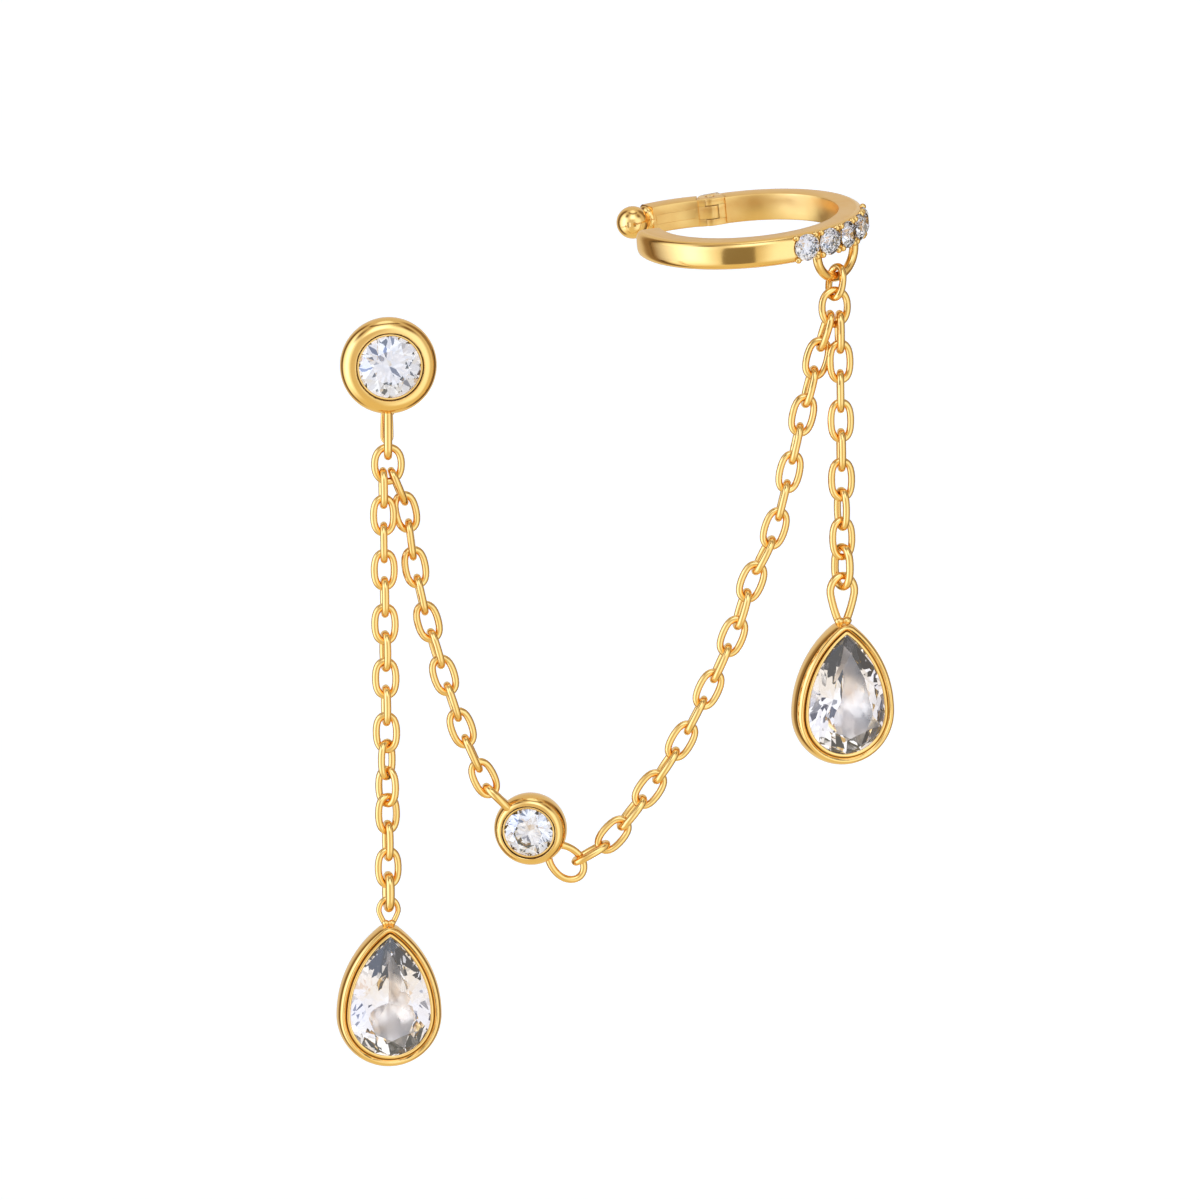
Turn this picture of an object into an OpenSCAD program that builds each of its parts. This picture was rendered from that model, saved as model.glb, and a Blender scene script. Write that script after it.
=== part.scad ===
// Ear chain earring: a lobe stud and an upper ear cuff joined by one hanging chain,
// with a round stone station in the chain and a pear drop on a chain at each end.
// Millimetres, +Z up. The origin is the back of the stud's bezel, where the post starts
// and the ear lobe lies. +Y runs back along the post, and -Y is the side that is seen.

/* [Round settings] */
// Radius of the round stone in the stud
stud_stone_r = 1.575; // [1.3:0.025:1.8]
// Width of the metal round the stud's stone
stud_wall = 0.85; // [0.6:0.05:1]
// Depth of the stud's bezel from its back to its rim
stud_depth = 1.9; // [1.7:0.05:2.3]
// Radius of the round stone in the station
station_stone_r = 1.25; // [1.05:0.025:1.45]
// Width of the metal round the station's stone
station_wall = 0.59; // [0.5:0.01:0.7]
// Depth of the station's bezel
station_depth = 1.7; // [1.5:0.05:2]
// Turn of the station about the vertical, to the left of the front
station_turn = 17; // [0:1:25]
// Tilt of the station's face towards the ground
station_tilt = 7; // [0:1:15]

/* [Ear post] */
// Radius of the post that goes through the lobe
post_r = 0.4; // [0.35:0.05:0.5]
// Length of the post behind the bezel
post_l = 10; // [8:0.5:12]

/* [Pear drops] */
// Half width of the pear stone, the radius of its round end
pear_r = 2.05; // [1.8:0.05:2.3]
// Height of the pear stone from its round end to its tip
pear_h = 6.1; // [5.6:0.1:6.6]
// Width of the metal round the pear stone
pear_wall = 0.62; // [0.5:0.01:0.7]
// Depth of the pear's bezel
pear_depth = 2.2; // [2:0.05:2.6]
// Metal left beyond the stone's tip, where the outer tip is rounded off
pear_tip = 0.57; // [0.5:0.01:0.65]
// Turn of the cuff's drop about the vertical, to the right of the front
cuff_drop_turn = 11; // [0:1:20]

/* [Stones] */
// Height of a crown as a share of the stone's radius
crown_share = 0.3; // [0.25:0.01:0.35]
// Depth of a pavilion as a share of the stone's radius
pavilion_share = 0.84; // [0.78:0.01:0.88]
// Half thickness of a girdle
girdle_half = 0.04; // [0.03:0.01:0.06]
// Gap between a stone and its seat
stone_gap = 0.04; // [0.03:0.01:0.06]

/* [Chain] */
// Diameter of a link's wire
wire = 0.32; // [0.28:0.01:0.34]
// Width of a chain link
link_w = 1.44; // [1.36:0.02:1.6]
// Width of the two junction links that carry two strands
junction_w = 1.76; // [1.74:0.02:1.84]
// Length of the two junction links
junction_l = 2.1; // [2:0.05:2.4]
// Clear gap kept between linked pieces
link_gap = 0.12; // [0.11:0.01:0.13]
// Pairs of links in the lobe's drop chain
lobe_pairs = 7; // [6:1:8]
// Pairs of links from the stud to the station
stud_side_pairs = 6; // [5:1:7]
// Pairs of links from the station to the cuff
cuff_side_pairs = 10; // [9:1:12]
// Pairs of links in the cuff's drop chain
cuff_drop_pairs = 4; // [3:1:5]
// Diameter of the thick wire of the jump rings above the drops
jump_wire = 0.45; // [0.4:0.01:0.46]
// Width of the jump rings above the drops
jump_w = 1.6; // [1.56:0.02:1.7]
// Turn of each link out of the strict face and edge order
link_sway = 7; // [0:1:10]
// Depth of the hanging chains in front of the stud's back
chain_y = -0.9; // [-1.1:0.05:-0.8]

/* [Eyes] */
// Diameter of the wire of the stud's eye and of the eye on the station
eye_wire = 0.42; // [0.36:0.01:0.45]
// Radius of the stud's eye and of the station's eye, to the middle of the wire
eye_r = 0.5; // [0.48:0.01:0.55]
// Distance from the stud's rim to the middle of its eye
stud_eye_reach = 1.68; // [1.5:0.02:2]
// Distance from the station's rim to the middle of its eye
station_eye_reach = 0.78; // [0.7:0.02:1]
// Radius of the wide eye on the other side of the station, to the middle of its wire
station_ring_r = 0.72; // [0.66:0.01:0.8]
// Distance from the station's rim to the middle of the wide eye
station_ring_reach = 0.96; // [0.9:0.01:1.1]

/* [Drop eyes] */
// Diameter of the wire of the lobe drop's eye
lobe_eye_wire = 0.3; // [0.26:0.01:0.32]
// Radius of the lobe drop's eye to the middle of its wire
lobe_eye_r = 0.46; // [0.45:0.01:0.55]
// Height of the lobe drop's eye above the bezel's tip
lobe_eye_reach = 0.75; // [0.7:0.05:1]
// Diameter of the wire of the cuff drop's eye
cuff_eye_wire = 0.42; // [0.36:0.01:0.46]
// Radius of the cuff drop's eye to the middle of its wire
cuff_eye_r = 0.62; // [0.58:0.01:0.7]
// Height of the cuff drop's eye above the bezel's tip
cuff_eye_reach = 1.65; // [1.5:0.05:1.9]

/* [Cuff] */
// Outer radius of the cuff
cuff_r = 5.83; // [5.6:0.01:6.1]
// Thickness of the cuff from its inner to its outer face
cuff_t = 1.3; // [1.2:0.05:1.4]
// Height of the cuff's band
cuff_h = 1.4; // [1.3:0.05:1.5]
// Angle from the front to the band's free end, on the left
band_end = 77; // [60:1:85]
// Angle from the front round the right side to the hinge
hinge_at = 201; // [190:1:215]
// Length of the arm in degrees round the cuff, from the hinge to the middle of its ball
arm_span = 47.5; // [42:0.5:60]
// Angle that the arm stands open
arm_open = 27; // [0:1:40]
// Radius of the ball at the arm's end
ball_r = 0.83; // [0.7:0.01:0.9]
// Radius of the hinge's knuckle
knuckle_r = 0.55; // [0.5:0.01:0.58]
// Radius of the hinge pin
hinge_pin_r = 0.2; // [0.15:0.01:0.25]
// Height of the arm's tongue between the band's two ears
tongue_h = 0.66; // [0.5:0.02:0.8]
// Height of the spring leaf on the arm's inner face
leaf_h = 0.5; // [0.4:0.02:0.6]
// Thickness of the spring leaf
leaf_t = 0.16; // [0.12:0.01:0.2]

/* [Cuff stones] */
// Radius of a cuff stone
pave_r = 0.675; // [0.6:0.005:0.69]
// Angle from the front to the first stone
pave_from = 29; // [26:0.5:32]
// Angle between neighbouring stones
pave_step = 14.5; // [14.5:0.25:16]
// Radius of the beads that hold the stones
bead_r = 0.13; // [0.1:0.01:0.14]
// Radius of the loop under the cuff, to the middle of its wire
loop_r = 1.35; // [1.2:0.05:1.45]
// Diameter of the loop's wire
loop_wire = 0.48; // [0.42:0.02:0.52]

/* [Hidden] */
$fn = 48;

// Where things hang, chosen by hand as [across, up] on the plane of the chains
station_at = [7.15, -23.62];
lobe_drop_hook = [-0.03, -26.1];
cuff_drop_hook = [22.93, -9.98];
cuff_junction_hook = [22.5, 3.13];
cuff_at = [18.8, 3.15, 5.95];
cuff_tip_over = [6, -5, -8];

// Routes of the two linking strands, between the hooks at their ends
stud_side_route = [[0.95, -7.3], [1.35, -10], [2.0, -13], [3.7, -18.5]];
cuff_side_route = [[11.3, -24.1], [14.7, -19.5], [17.35, -14.15], [18.3, -11.3], [19.55, -8.6], [21, -2.8]];

gold = "gold";
clear_stone = "lavender";

// Each cuff stone is a node of its own, so their number is fixed
cuff_stones = 5;

// A small overlap where one shape runs into another, and a cutter's run past its work
skin = 0.01;
overrun = 1;

// Points along an arc
function arc(centre, r, from, to, steps) = [
    for (i = [0:steps]) let (a = from + (to - from) * i / steps)
        centre + r * [cos(a), sin(a)]
];

function unit(v) = v / norm(v);
function on_plane(p) = [p[0], chain_y, p[1]];
function turn_x(p, a) = [p[0], p[1] * cos(a) - p[2] * sin(a), p[1] * sin(a) + p[2] * cos(a)];
function turn_y(p, a) = [p[0] * cos(a) + p[2] * sin(a), p[1], p[2] * cos(a) - p[0] * sin(a)];
function turn_z(p, a) = [p[0] * cos(a) - p[1] * sin(a), p[0] * sin(a) + p[1] * cos(a), p[2]];

// Chain links
// A link is given by two hook points, each in the middle of the gap to its neighbour,
// so its own length follows from how far apart they are.
// The wire has six sides, and each round end has six steps.
wire_sides = 6;
end_steps = 6;
function corner(i, j) = i * wire_sides + (j + wire_sides) % wire_sides;

// Wire along a path upright in the XZ plane: each step gives the wire's middle and the
// direction across the path.
module bent_wire(path, d, closed) {
    n = len(path);
    points = [
        for (p = path) for (j = [0:wire_sides - 1])
            let (b = 360 * j / wire_sides, at = p[0] + d / 2 * cos(b) * [cos(p[1]), sin(p[1])])
            [at[0], d / 2 * sin(b), at[1]]
    ];
    sides = [
        for (i = [0:closed ? n - 1 : n - 2]) for (j = [0:wire_sides - 1])
            let (next = (i + 1) % n)
            [corner(i, j), corner(next, j), corner(next, j + 1), corner(i, j + 1)]
    ];
    ends = [
        [for (j = [0:wire_sides - 1]) corner(0, j)],
        [for (j = [0:wire_sides - 1]) corner(n - 1, -j)]
    ];
    polyhedron(points, closed ? sides : concat(sides, ends));
}

module wire_link(l, w, d) {
    ring_r = (w - d) / 2;
    bent_wire([
        for (end = [0, 1]) for (k = [0:end_steps])
            let (a = 180 * (end + k / end_steps))
            [[0, (0.5 - end) * (l - w)] + ring_r * [cos(a), sin(a)], a]
    ], d, true);
}

module link_between(from, to, roll, w, d) {
    along = unit(to - from);
    flat = unit(cross(along, [0, 1, 0]));
    deep = cross(along, flat);
    across = flat * cos(roll) - deep * sin(roll);
    normal = cross(along, across);
    middle = (from + to) / 2;
    multmatrix([
        [across[0], normal[0], along[0], middle[0]],
        [across[1], normal[1], along[1], middle[1]],
        [across[2], normal[2], along[2], middle[2]],
        [0, 0, 0, 1]
    ])
        wire_link(norm(to - from) + 2 * d + link_gap, w, d);
}

// A smooth curve through the route's points, as many short steps
function spline(p, k, t) =
    let (
        b = p[k],
        c = p[k + 1],
        a = k > 0 ? p[k - 1] : 2 * b - c,
        d = k + 2 < len(p) ? p[k + 2] : 2 * c - b
    )
    (2 * b + (c - a) * t + (2 * a - 5 * b + 4 * c - d) * t ^ 2
        + (3 * b - a - 3 * c + d) * t ^ 3) / 2;
function smooth(p, steps = 20) = [
    for (k = [0:len(p) - 2]) for (i = [0:steps - 1]) spline(p, k, i / steps),
    p[len(p) - 1]
];
function travelled(p) = [
    for (i = 0, s = 0; i < len(p); s = s + norm((i + 1 < len(p) ? p[i + 1] : p[i]) - p[i]), i = i + 1) s
];

// The hook points of a strand of n links along a route
function hooks(route, n) =
    let (
        path = smooth(route),
        s = travelled(path),
        total = s[len(s) - 1],
        xs = [for (i = [0:len(path) - 1]) [s[i], path[i][0]]],
        zs = [for (i = [0:len(path) - 1]) [s[i], path[i][1]]]
    )
    [for (i = [0:n]) [lookup(total * i / n, xs), lookup(total * i / n, zs)]];

// Links alternate between edge on and face on, sway a little, and a strand may turn by a
// share of a quarter over some of its links.
turn_from = 0.54;
turn_to = 0.9;
sway_step = 137;
function eased(x) = min(1, max(0, x));
function link_roll(i, n, quarter) =
    90 * (i + 1) + link_sway * sin(i * sway_step)
    - quarter * 90 * eased((i / n - turn_from) / (turn_to - turn_from));

// Where two strands leave one junction link, one of them lies behind the other, and
// comes forward again once they are far enough apart.
strand_step = 0.46;
strand_step_links = 6;
function step_back(k) = k == 0 ? 0 : strand_step * (1 - eased((k - 2) / strand_step_links));
module strand(route, n, quarter = 0, back_from_start = false, back_to_end = false) {
    at = hooks(route, n);
    function depth(i) = (back_from_start ? step_back(i) : 0) + (back_to_end ? step_back(n - i) : 0);
    function hook(i) = on_plane(at[i]) + [0, depth(i), 0];
    for (i = [0:n - 1])
        link_between(hook(i), hook(i + 1), link_roll(i, n, quarter), link_w, wire);
}

// Where two strands hook side by side into the lower end of a junction link
junction_spread = 1.5;
junction_inner_r = junction_w / 2 - wire;
junction_path_r = junction_inner_r - link_gap - wire / 2;
junction_part = asin((wire + junction_spread * link_gap) / 2 / junction_path_r);
junction_reach = junction_l - 2 * wire - link_gap;
function junction_hook(top, side) =
    top + [0, -junction_reach - link_gap / 2 + junction_inner_r]
    + junction_path_r * [side * sin(junction_part), -cos(junction_part)]
    - [0, (wire + link_gap) / 2];

stud_r = stud_stone_r + stud_wall;
lobe_junction_top = [0, (eye_wire + link_gap) / 2 - stud_r - stud_eye_reach - eye_r];
lobe_strand_top = junction_hook(lobe_junction_top, -1);
stud_side_top = junction_hook(lobe_junction_top, 1);
cuff_side_end = junction_hook(cuff_junction_hook, -1);
cuff_strand_top = junction_hook(cuff_junction_hook, 1);

// The station's two eyes point along the strands that pull on them
station_r = station_stone_r + station_wall;
station_eye_angle = 135.5;
station_ring_angle = -44;
ring_pull_angle = 37;
function ray(a) = [cos(a), sin(a)];
station_eye_mid = station_at + (station_r + station_eye_reach) * ray(station_eye_angle);
station_ring_mid = station_at + (station_r + station_ring_reach) * ray(station_ring_angle);
stud_side_end = station_eye_mid + (eye_r - (eye_wire + link_gap) / 2) * ray(station_eye_angle);
cuff_side_start = station_ring_mid + (station_ring_r - (wire + link_gap) / 2) * ray(ring_pull_angle);

lobe_links = 2 * lobe_pairs + 1;
stud_side_links = 2 * stud_side_pairs;
cuff_side_links = 2 * cuff_side_pairs + 1;
cuff_drop_links = 2 * cuff_drop_pairs;

// Jump rings above the drops: the middle of the lower wire is the drop's pivot
lobe_jump_reach = 1.08;
cuff_jump_reach = 1.4;
cuff_jump_roll = 118;
lobe_jump_roll = 93;
loop_link_roll = 122;
cuff_junction_roll = 10;
cuff_drop_quarter = -0.2;
function jump_foot(hook, reach) = hook - [0, reach];
function pivot(hook, reach) = jump_foot(hook, reach) - [0, (link_gap + jump_wire) / 2];
lobe_pivot = pivot(lobe_drop_hook, lobe_jump_reach);
cuff_pivot = pivot(cuff_drop_hook, cuff_jump_reach);

// Settings and stones
// The half section of a bezel: a rounded side, widest below the rim
rim_drop = 0.72;
rim_round = 0.9;
back_round = 1.7;
stud_rim_round = 0.76;
arc_steps = 8;
function bezel_section(r_out, depth, round_r) =
    let (
        wide = depth - rim_drop,
        rim_a = asin(rim_drop / round_r),
        back_a = asin(wide / back_round)
    )
    concat(
        [[0, 0]],
        arc([r_out - back_round, wide], back_round, -back_a, 0, arc_steps),
        [for (i = [1:arc_steps]) arc([r_out - round_r, wide], round_r, 0, rim_a, arc_steps)[i]],
        [[0, depth]]
    );

// Heights in a bezel of the girdle's plane, which lies a little under the rim
girdle_under_rim = 0.18;
function girdle_z(depth) = depth - girdle_under_rim;

// A round cup with a conical seat, its face along +Z
module round_cup(stone_r, wall, depth, round_r) {
    seat_r = stone_r + stone_gap;
    seat_z = girdle_z(depth) - girdle_half;
    seat_depth = seat_r * pavilion_share + stone_gap;
    difference() {
        rotate_extrude()
            polygon(bezel_section(stone_r + wall, depth, round_r));
        rotate_extrude()
            polygon([
                [0, seat_z - seat_depth],
                [seat_r, seat_z],
                [seat_r, depth + overrun],
                [0, depth + overrun]
            ]);
    }
}

// The pear outline: a round end and two long arcs that meet at the tip
pear_tip_z = pear_h - pear_r;
pear_side_r = (pear_tip_z ^ 2 + pear_r ^ 2) / (2 * pear_r);
pear_side_x = pear_side_r - pear_r;
pear_side_a = asin(pear_tip_z / pear_side_r);
pear_span = 2 * (pear_side_r + pear_wall);
module pear_outline(grow) {
    intersection() {
        circle(r = pear_r + grow, $fn = 96);
        translate([-pear_span / 2, -pear_span])
            square(pear_span);
    }
    intersection() {
        translate([-pear_side_x, 0])
            circle(r = pear_side_r + grow, $fn = 192);
        translate([pear_side_x, 0])
            circle(r = pear_side_r + grow, $fn = 192);
        translate([-pear_span / 2, 0])
            square(pear_span);
    }
}

// A solid pear with the bezel's section all round, its face along +Z
module pear_half() {
    intersection() {
        translate([-pear_side_x, 0, 0])
            rotate_extrude(angle = 90, $fn = 192)
                polygon(bezel_section(pear_side_r + pear_wall, pear_depth, rim_round));
        translate([0, 0, -overrun])
            cube([pear_span, pear_span, pear_depth + 2 * overrun]);
    }
}

module pear_body() {
    rotate([0, 0, 180])
        rotate_extrude(angle = 180, $fn = 96)
            polygon(bezel_section(pear_r + pear_wall, pear_depth, rim_round));
    pear_half();
    mirror([1, 0, 0])
        pear_half();
}

ledge_w = 0.4;
floor_t = 0.3;
module pear_cup() {
    seat_z = girdle_z(pear_depth) - girdle_half;
    ledge_z = seat_z - ledge_w * pavilion_share - 2 * stone_gap;
    difference() {
        intersection() {
            pear_body();
            cylinder(r = pear_tip_z + pear_tip, h = pear_depth, $fn = 96);
        }
        translate([0, 0, ledge_z])
            linear_extrude(pear_depth)
                pear_outline(stone_gap);
        translate([0, 0, floor_t])
            linear_extrude(pear_depth)
                pear_outline(-ledge_w);
    }
}

// Cut stones: places round the girdle, every second one over a main facet. Each place
// gives a point of the outline and the direction that it faces. They run from the tip of
// a pear down its right side and up the other.
mains = 8;
places = 2 * mains;
place_turn = 360 / places;
side_places = places / 4;
rim_points = 4 * mains;
function round_place(r, u) = let (a = 90 - place_turn * u) [r * ray(a), a];
function pear_right(u) =
    u <= side_places
        ? let (a = pear_side_a * (side_places - u) / side_places)
            [pear_side_r * ray(a) - [pear_side_x, 0], u == 0 ? 90 : a]
        : let (a = -place_turn * (u - side_places)) [pear_r * ray(a), a];
function pear_place(u) =
    u <= places / 2
        ? pear_right(u)
        : let (m = pear_right(places - u)) [[-m[0][0], m[0][1]], 180 - m[1]];
function half_places() = [for (j = [0:rim_points - 1]) j * places / rim_points];

// Where two facet planes, given by facing and distance, cross
function meet(a, da, b, db) =
    let (k = cos(a) * sin(b) - cos(b) * sin(a))
    [(da * sin(b) - db * sin(a)) / k, (db * cos(a) - da * cos(b)) / k];
function facing(p, a) = p[0] * cos(a) + p[1] * sin(a);

// A brilliant cut over any outline, with its girdle on z = 0 and its table up
table_inset = 0.43;
star_height = 0.5;
lower_share = 0.25;
pear_culet_share = 0.25;
module brilliant(outline, r, culet) {
    crown = r * crown_share;
    pavilion = r * pavilion_share;
    inset = r * table_inset;
    last = mains - 1;
    rim = [for (p = outline) p[0]];
    under_main = [for (i = [0:last]) outline[4 * i]];
    function next(i) = under_main[(i + 1) % mains];
    table = [for (m = under_main) m[0] - inset * ray(m[1])];
    stars = [
        for (i = [0:last]) let (m = under_main[i], n = next(i))
            meet(m[1], facing(m[0], m[1]) - inset * star_height,
                 n[1], facing(n[0], n[1]) - inset * star_height)
    ];
    lowers = [
        for (i = [0:last]) let (m = under_main[i], n = next(i))
            culet + lower_share
                * meet(m[1], facing(m[0] - culet, m[1]), n[1], facing(n[0] - culet, n[1]))
    ];
    points = concat(
        [for (p = table) [p[0], p[1], girdle_half + crown]],
        [for (p = stars) [p[0], p[1], girdle_half + crown * star_height]],
        [for (p = rim) [p[0], p[1], girdle_half]],
        [for (p = rim) [p[0], p[1], -girdle_half]],
        [for (p = lowers) [p[0], p[1], -girdle_half - pavilion * (1 - lower_share)]],
        [[culet[0], culet[1], -girdle_half - pavilion]]
    );
    function t(i) = i % mains;
    function s(i) = mains + (i + mains) % mains;
    function g(j) = places + (j + rim_points) % rim_points;
    function b(j) = g(j) + rim_points;
    function l(i) = s(i) - mains + places + 2 * rim_points;
    c = places + 2 * rim_points + mains;
    faces = concat(
        [[for (i = [0:last]) t(i)]],
        [for (i = [0:last]) [t(i), s(i), t(i + 1)]],
        [for (i = [0:last]) [t(i), s(i - 1), g(4 * i), s(i)]],
        [for (i = [0:last]) for (k = [0:3]) [s(i), g(4 * i + k), g(4 * i + k + 1)]],
        [for (j = [0:rim_points - 1]) [g(j), b(j), b(j + 1), g(j + 1)]],
        [for (i = [0:last]) for (k = [0:3]) [l(i), b(4 * i + k + 1), b(4 * i + k)]],
        [for (i = [0:last]) [c, l(i), b(4 * i), l(i - 1)]]
    );
    polyhedron(points, faces);
}

module round_stone(r) {
    brilliant([for (u = half_places()) round_place(r, u)], r, [0, 0]);
}

// A loop of wire whose two legs run together at its root, a set way down
eye_steps = 10;
root_share = 0.57;
module eye_loop(r, d, reach, root) {
    far = norm([root, reach]);
    leg_a = atan2(reach, root) - acos(r / far);
    bent_wire(concat(
        [[[root, -reach], -leg_a]],
        [
            for (k = [0:eye_steps])
                let (a = -leg_a + (180 + 2 * leg_a) * k / eye_steps) [r * ray(a), a]
        ],
        [[[-root, -reach], 180 + leg_a]]
    ), d, false);
}

// Stud
stud_eye_turn = 84;
module stud_setting() color(gold) {
    rotate([90, 0, 0])
        round_cup(stud_stone_r, stud_wall, stud_depth, stud_rim_round);
    translate([0, chain_y, -stud_r - stud_eye_reach])
        rotate([0, 0, stud_eye_turn])
            mirror([0, 0, 1])
                eye_loop(eye_r, eye_wire, stud_eye_reach + eye_wire, eye_wire * root_share);
    rotate([-90, 0, 0])
        translate([0, 0, -skin])
            cylinder(r = post_r, h = post_l - post_r + skin);
    translate([0, post_l - post_r, 0])
        sphere(r = post_r);
}

module stud_stone() color(clear_stone)
    rotate([90, 0, 0])
        translate([0, 0, girdle_z(stud_depth)])
            round_stone(stud_stone_r);

// Station
module at_station()
    translate(on_plane(station_at))
        rotate([0, 0, -station_turn])
            rotate([90 + station_tilt, 0, 0])
                translate([0, 0, rim_drop - station_depth])
                    children();

module station_setting() color(gold) {
    at_station()
        round_cup(station_stone_r, station_wall, station_depth, rim_round);
    translate(on_plane(station_eye_mid))
        rotate([0, 90 - station_eye_angle, 0])
            rotate([0, 0, 90])
                eye_loop(eye_r, eye_wire, station_eye_reach + eye_wire, eye_wire * root_share);
    translate(on_plane(station_ring_mid))
        rotate([0, 90 - station_ring_angle, 0])
            eye_loop(station_ring_r, wire, station_ring_reach + eye_wire, wire);
}

module station_stone() color(clear_stone)
    at_station()
        translate([0, 0, girdle_z(station_depth)])
            round_stone(station_stone_r);

// Chains
module lobe_drop_chain() color(gold) {
    junction_foot = lobe_junction_top - [0, junction_reach];
    link_between(on_plane(lobe_junction_top), on_plane(junction_foot), 0, junction_w, wire);
    strand([lobe_strand_top, lobe_drop_hook], lobe_links, 1);
    link_between(on_plane(lobe_drop_hook), on_plane(jump_foot(lobe_drop_hook, lobe_jump_reach)),
                 lobe_jump_roll, jump_w, jump_wire);
}

module stud_side_chain() color(gold)
    strand(concat([stud_side_top], stud_side_route, [stud_side_end]), stud_side_links,
           back_from_start = true);

module cuff_side_chain() color(gold)
    strand(concat([cuff_side_start], cuff_side_route, [cuff_side_end]), cuff_side_links,
           back_to_end = true);

module cuff_drop_chain() color(gold) {
    junction_foot = cuff_junction_hook - [0, junction_reach];
    link_between(loop_hook, on_plane(cuff_junction_hook), loop_link_roll, link_w, wire);
    link_between(on_plane(cuff_junction_hook), on_plane(junction_foot), cuff_junction_roll,
                 junction_w, wire);
    strand([cuff_strand_top, cuff_drop_hook], cuff_drop_links, cuff_drop_quarter);
    link_between(on_plane(cuff_drop_hook), on_plane(jump_foot(cuff_drop_hook, cuff_jump_reach)),
                 cuff_jump_roll, jump_w, jump_wire);
}

// Drops: their own origin is the round end's middle, on the plane of the eye, which lies
// a little behind the bezel's widest line.
eye_behind = 0.1;
drop_gap = 0.08;
function drop_hang(eye_r, d) = eye_r - (d + jump_wire) / 2 - drop_gap;
function drop_at(pivot_at, eye_r, d, reach) =
    on_plane(pivot_at - [0, drop_hang(eye_r, d) + reach + pear_tip_z + pear_tip]);

module drop_setting(eye_r, d, reach) {
    rotate([90, 0, 0])
        translate([0, 0, rim_drop - pear_depth + eye_behind])
            pear_cup();
    translate([0, 0, pear_tip_z + pear_tip + reach])
        eye_loop(eye_r, d, reach + d, d * root_share);
}

module drop_stone()
    rotate([90, 0, 0])
        translate([0, 0, rim_drop - girdle_under_rim + eye_behind])
            brilliant([for (u = half_places()) pear_place(u)], pear_r, [0, pear_r * pear_culet_share]);

module at_lobe_drop()
    translate(drop_at(lobe_pivot, lobe_eye_r, lobe_eye_wire, lobe_eye_reach))
        children();

module at_cuff_drop()
    translate(drop_at(cuff_pivot, cuff_eye_r, cuff_eye_wire, cuff_eye_reach))
        rotate([0, 0, cuff_drop_turn])
            children();

module lobe_drop_setting() color(gold)
    at_lobe_drop()
        drop_setting(lobe_eye_r, lobe_eye_wire, lobe_eye_reach);

module lobe_drop_stone() color(clear_stone)
    at_lobe_drop()
        drop_stone();

module cuff_drop_setting() color(gold)
    at_cuff_drop()
        drop_setting(cuff_eye_r, cuff_eye_wire, cuff_eye_reach);

module cuff_drop_stone() color(clear_stone)
    at_cuff_drop()
        drop_stone();

// Cuff: its own origin is the ring's middle, and angles run from the front to the right
cuff_mid_r = cuff_r - cuff_t / 2;
cuff_bevel = 0.14;
knuckle_clear = 0.1;
body_gap = knuckle_r + knuckle_clear;
body_gap_a = 2 * asin(body_gap / 2 / cuff_mid_r);
hinge_fit = 0.03;
function around(a, r, z = 0) = [r * sin(a), -r * cos(a), z];
function cuff_point(p) =
    cuff_at + turn_z(turn_y(turn_x(p, cuff_tip_over[0]), cuff_tip_over[1]), cuff_tip_over[2]);
module at_cuff()
    translate(cuff_at)
        rotate(cuff_tip_over)
            children();

// The band's section has a bevel along both edges of its outer face
module band_arc(from, to)
    rotate([0, 0, from - 90])
        rotate_extrude(angle = to - from, $fn = 96)
            polygon([
                [cuff_r - cuff_t, -cuff_h / 2],
                [cuff_r - cuff_bevel, -cuff_h / 2],
                [cuff_r, -cuff_h / 2 + cuff_bevel],
                [cuff_r, cuff_h / 2 - cuff_bevel],
                [cuff_r - cuff_bevel, cuff_h / 2],
                [cuff_r - cuff_t, cuff_h / 2]
            ]);

module at_hinge()
    translate(around(hinge_at, cuff_mid_r))
        rotate([0, 0, hinge_at])
            children();

function pave_angle(i) = pave_from + pave_step * i;
pave_sunk = 0.06;
pave_seat_gap = 0.07;
pave_cone_gap = 0.015;
pave_girdle_r = cuff_r - pave_sunk;
pave_seat_r = pave_r + pave_seat_gap;
pave_cone_r = pave_r + pave_cone_gap;
pave_cone_l = pave_cone_r * pavilion_share + stone_gap;
module at_pave(i, r)
    rotate([0, 0, pave_angle(i)])
        translate([0, -r, 0])
            rotate([90, 0, 0])
                children();

// The loop hangs between the second and the third stone
loop_place = 1.5;
loop_at = pave_angle(loop_place);
loop_in = 0.42;
loop_mid_r = cuff_r - loop_in;
loop_up = 0.05;
loop_foot_z = loop_up - cuff_h / 2 - loop_r + (loop_wire + link_gap) / 2;
loop_hook = cuff_point(around(loop_at, loop_mid_r, loop_foot_z));

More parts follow.
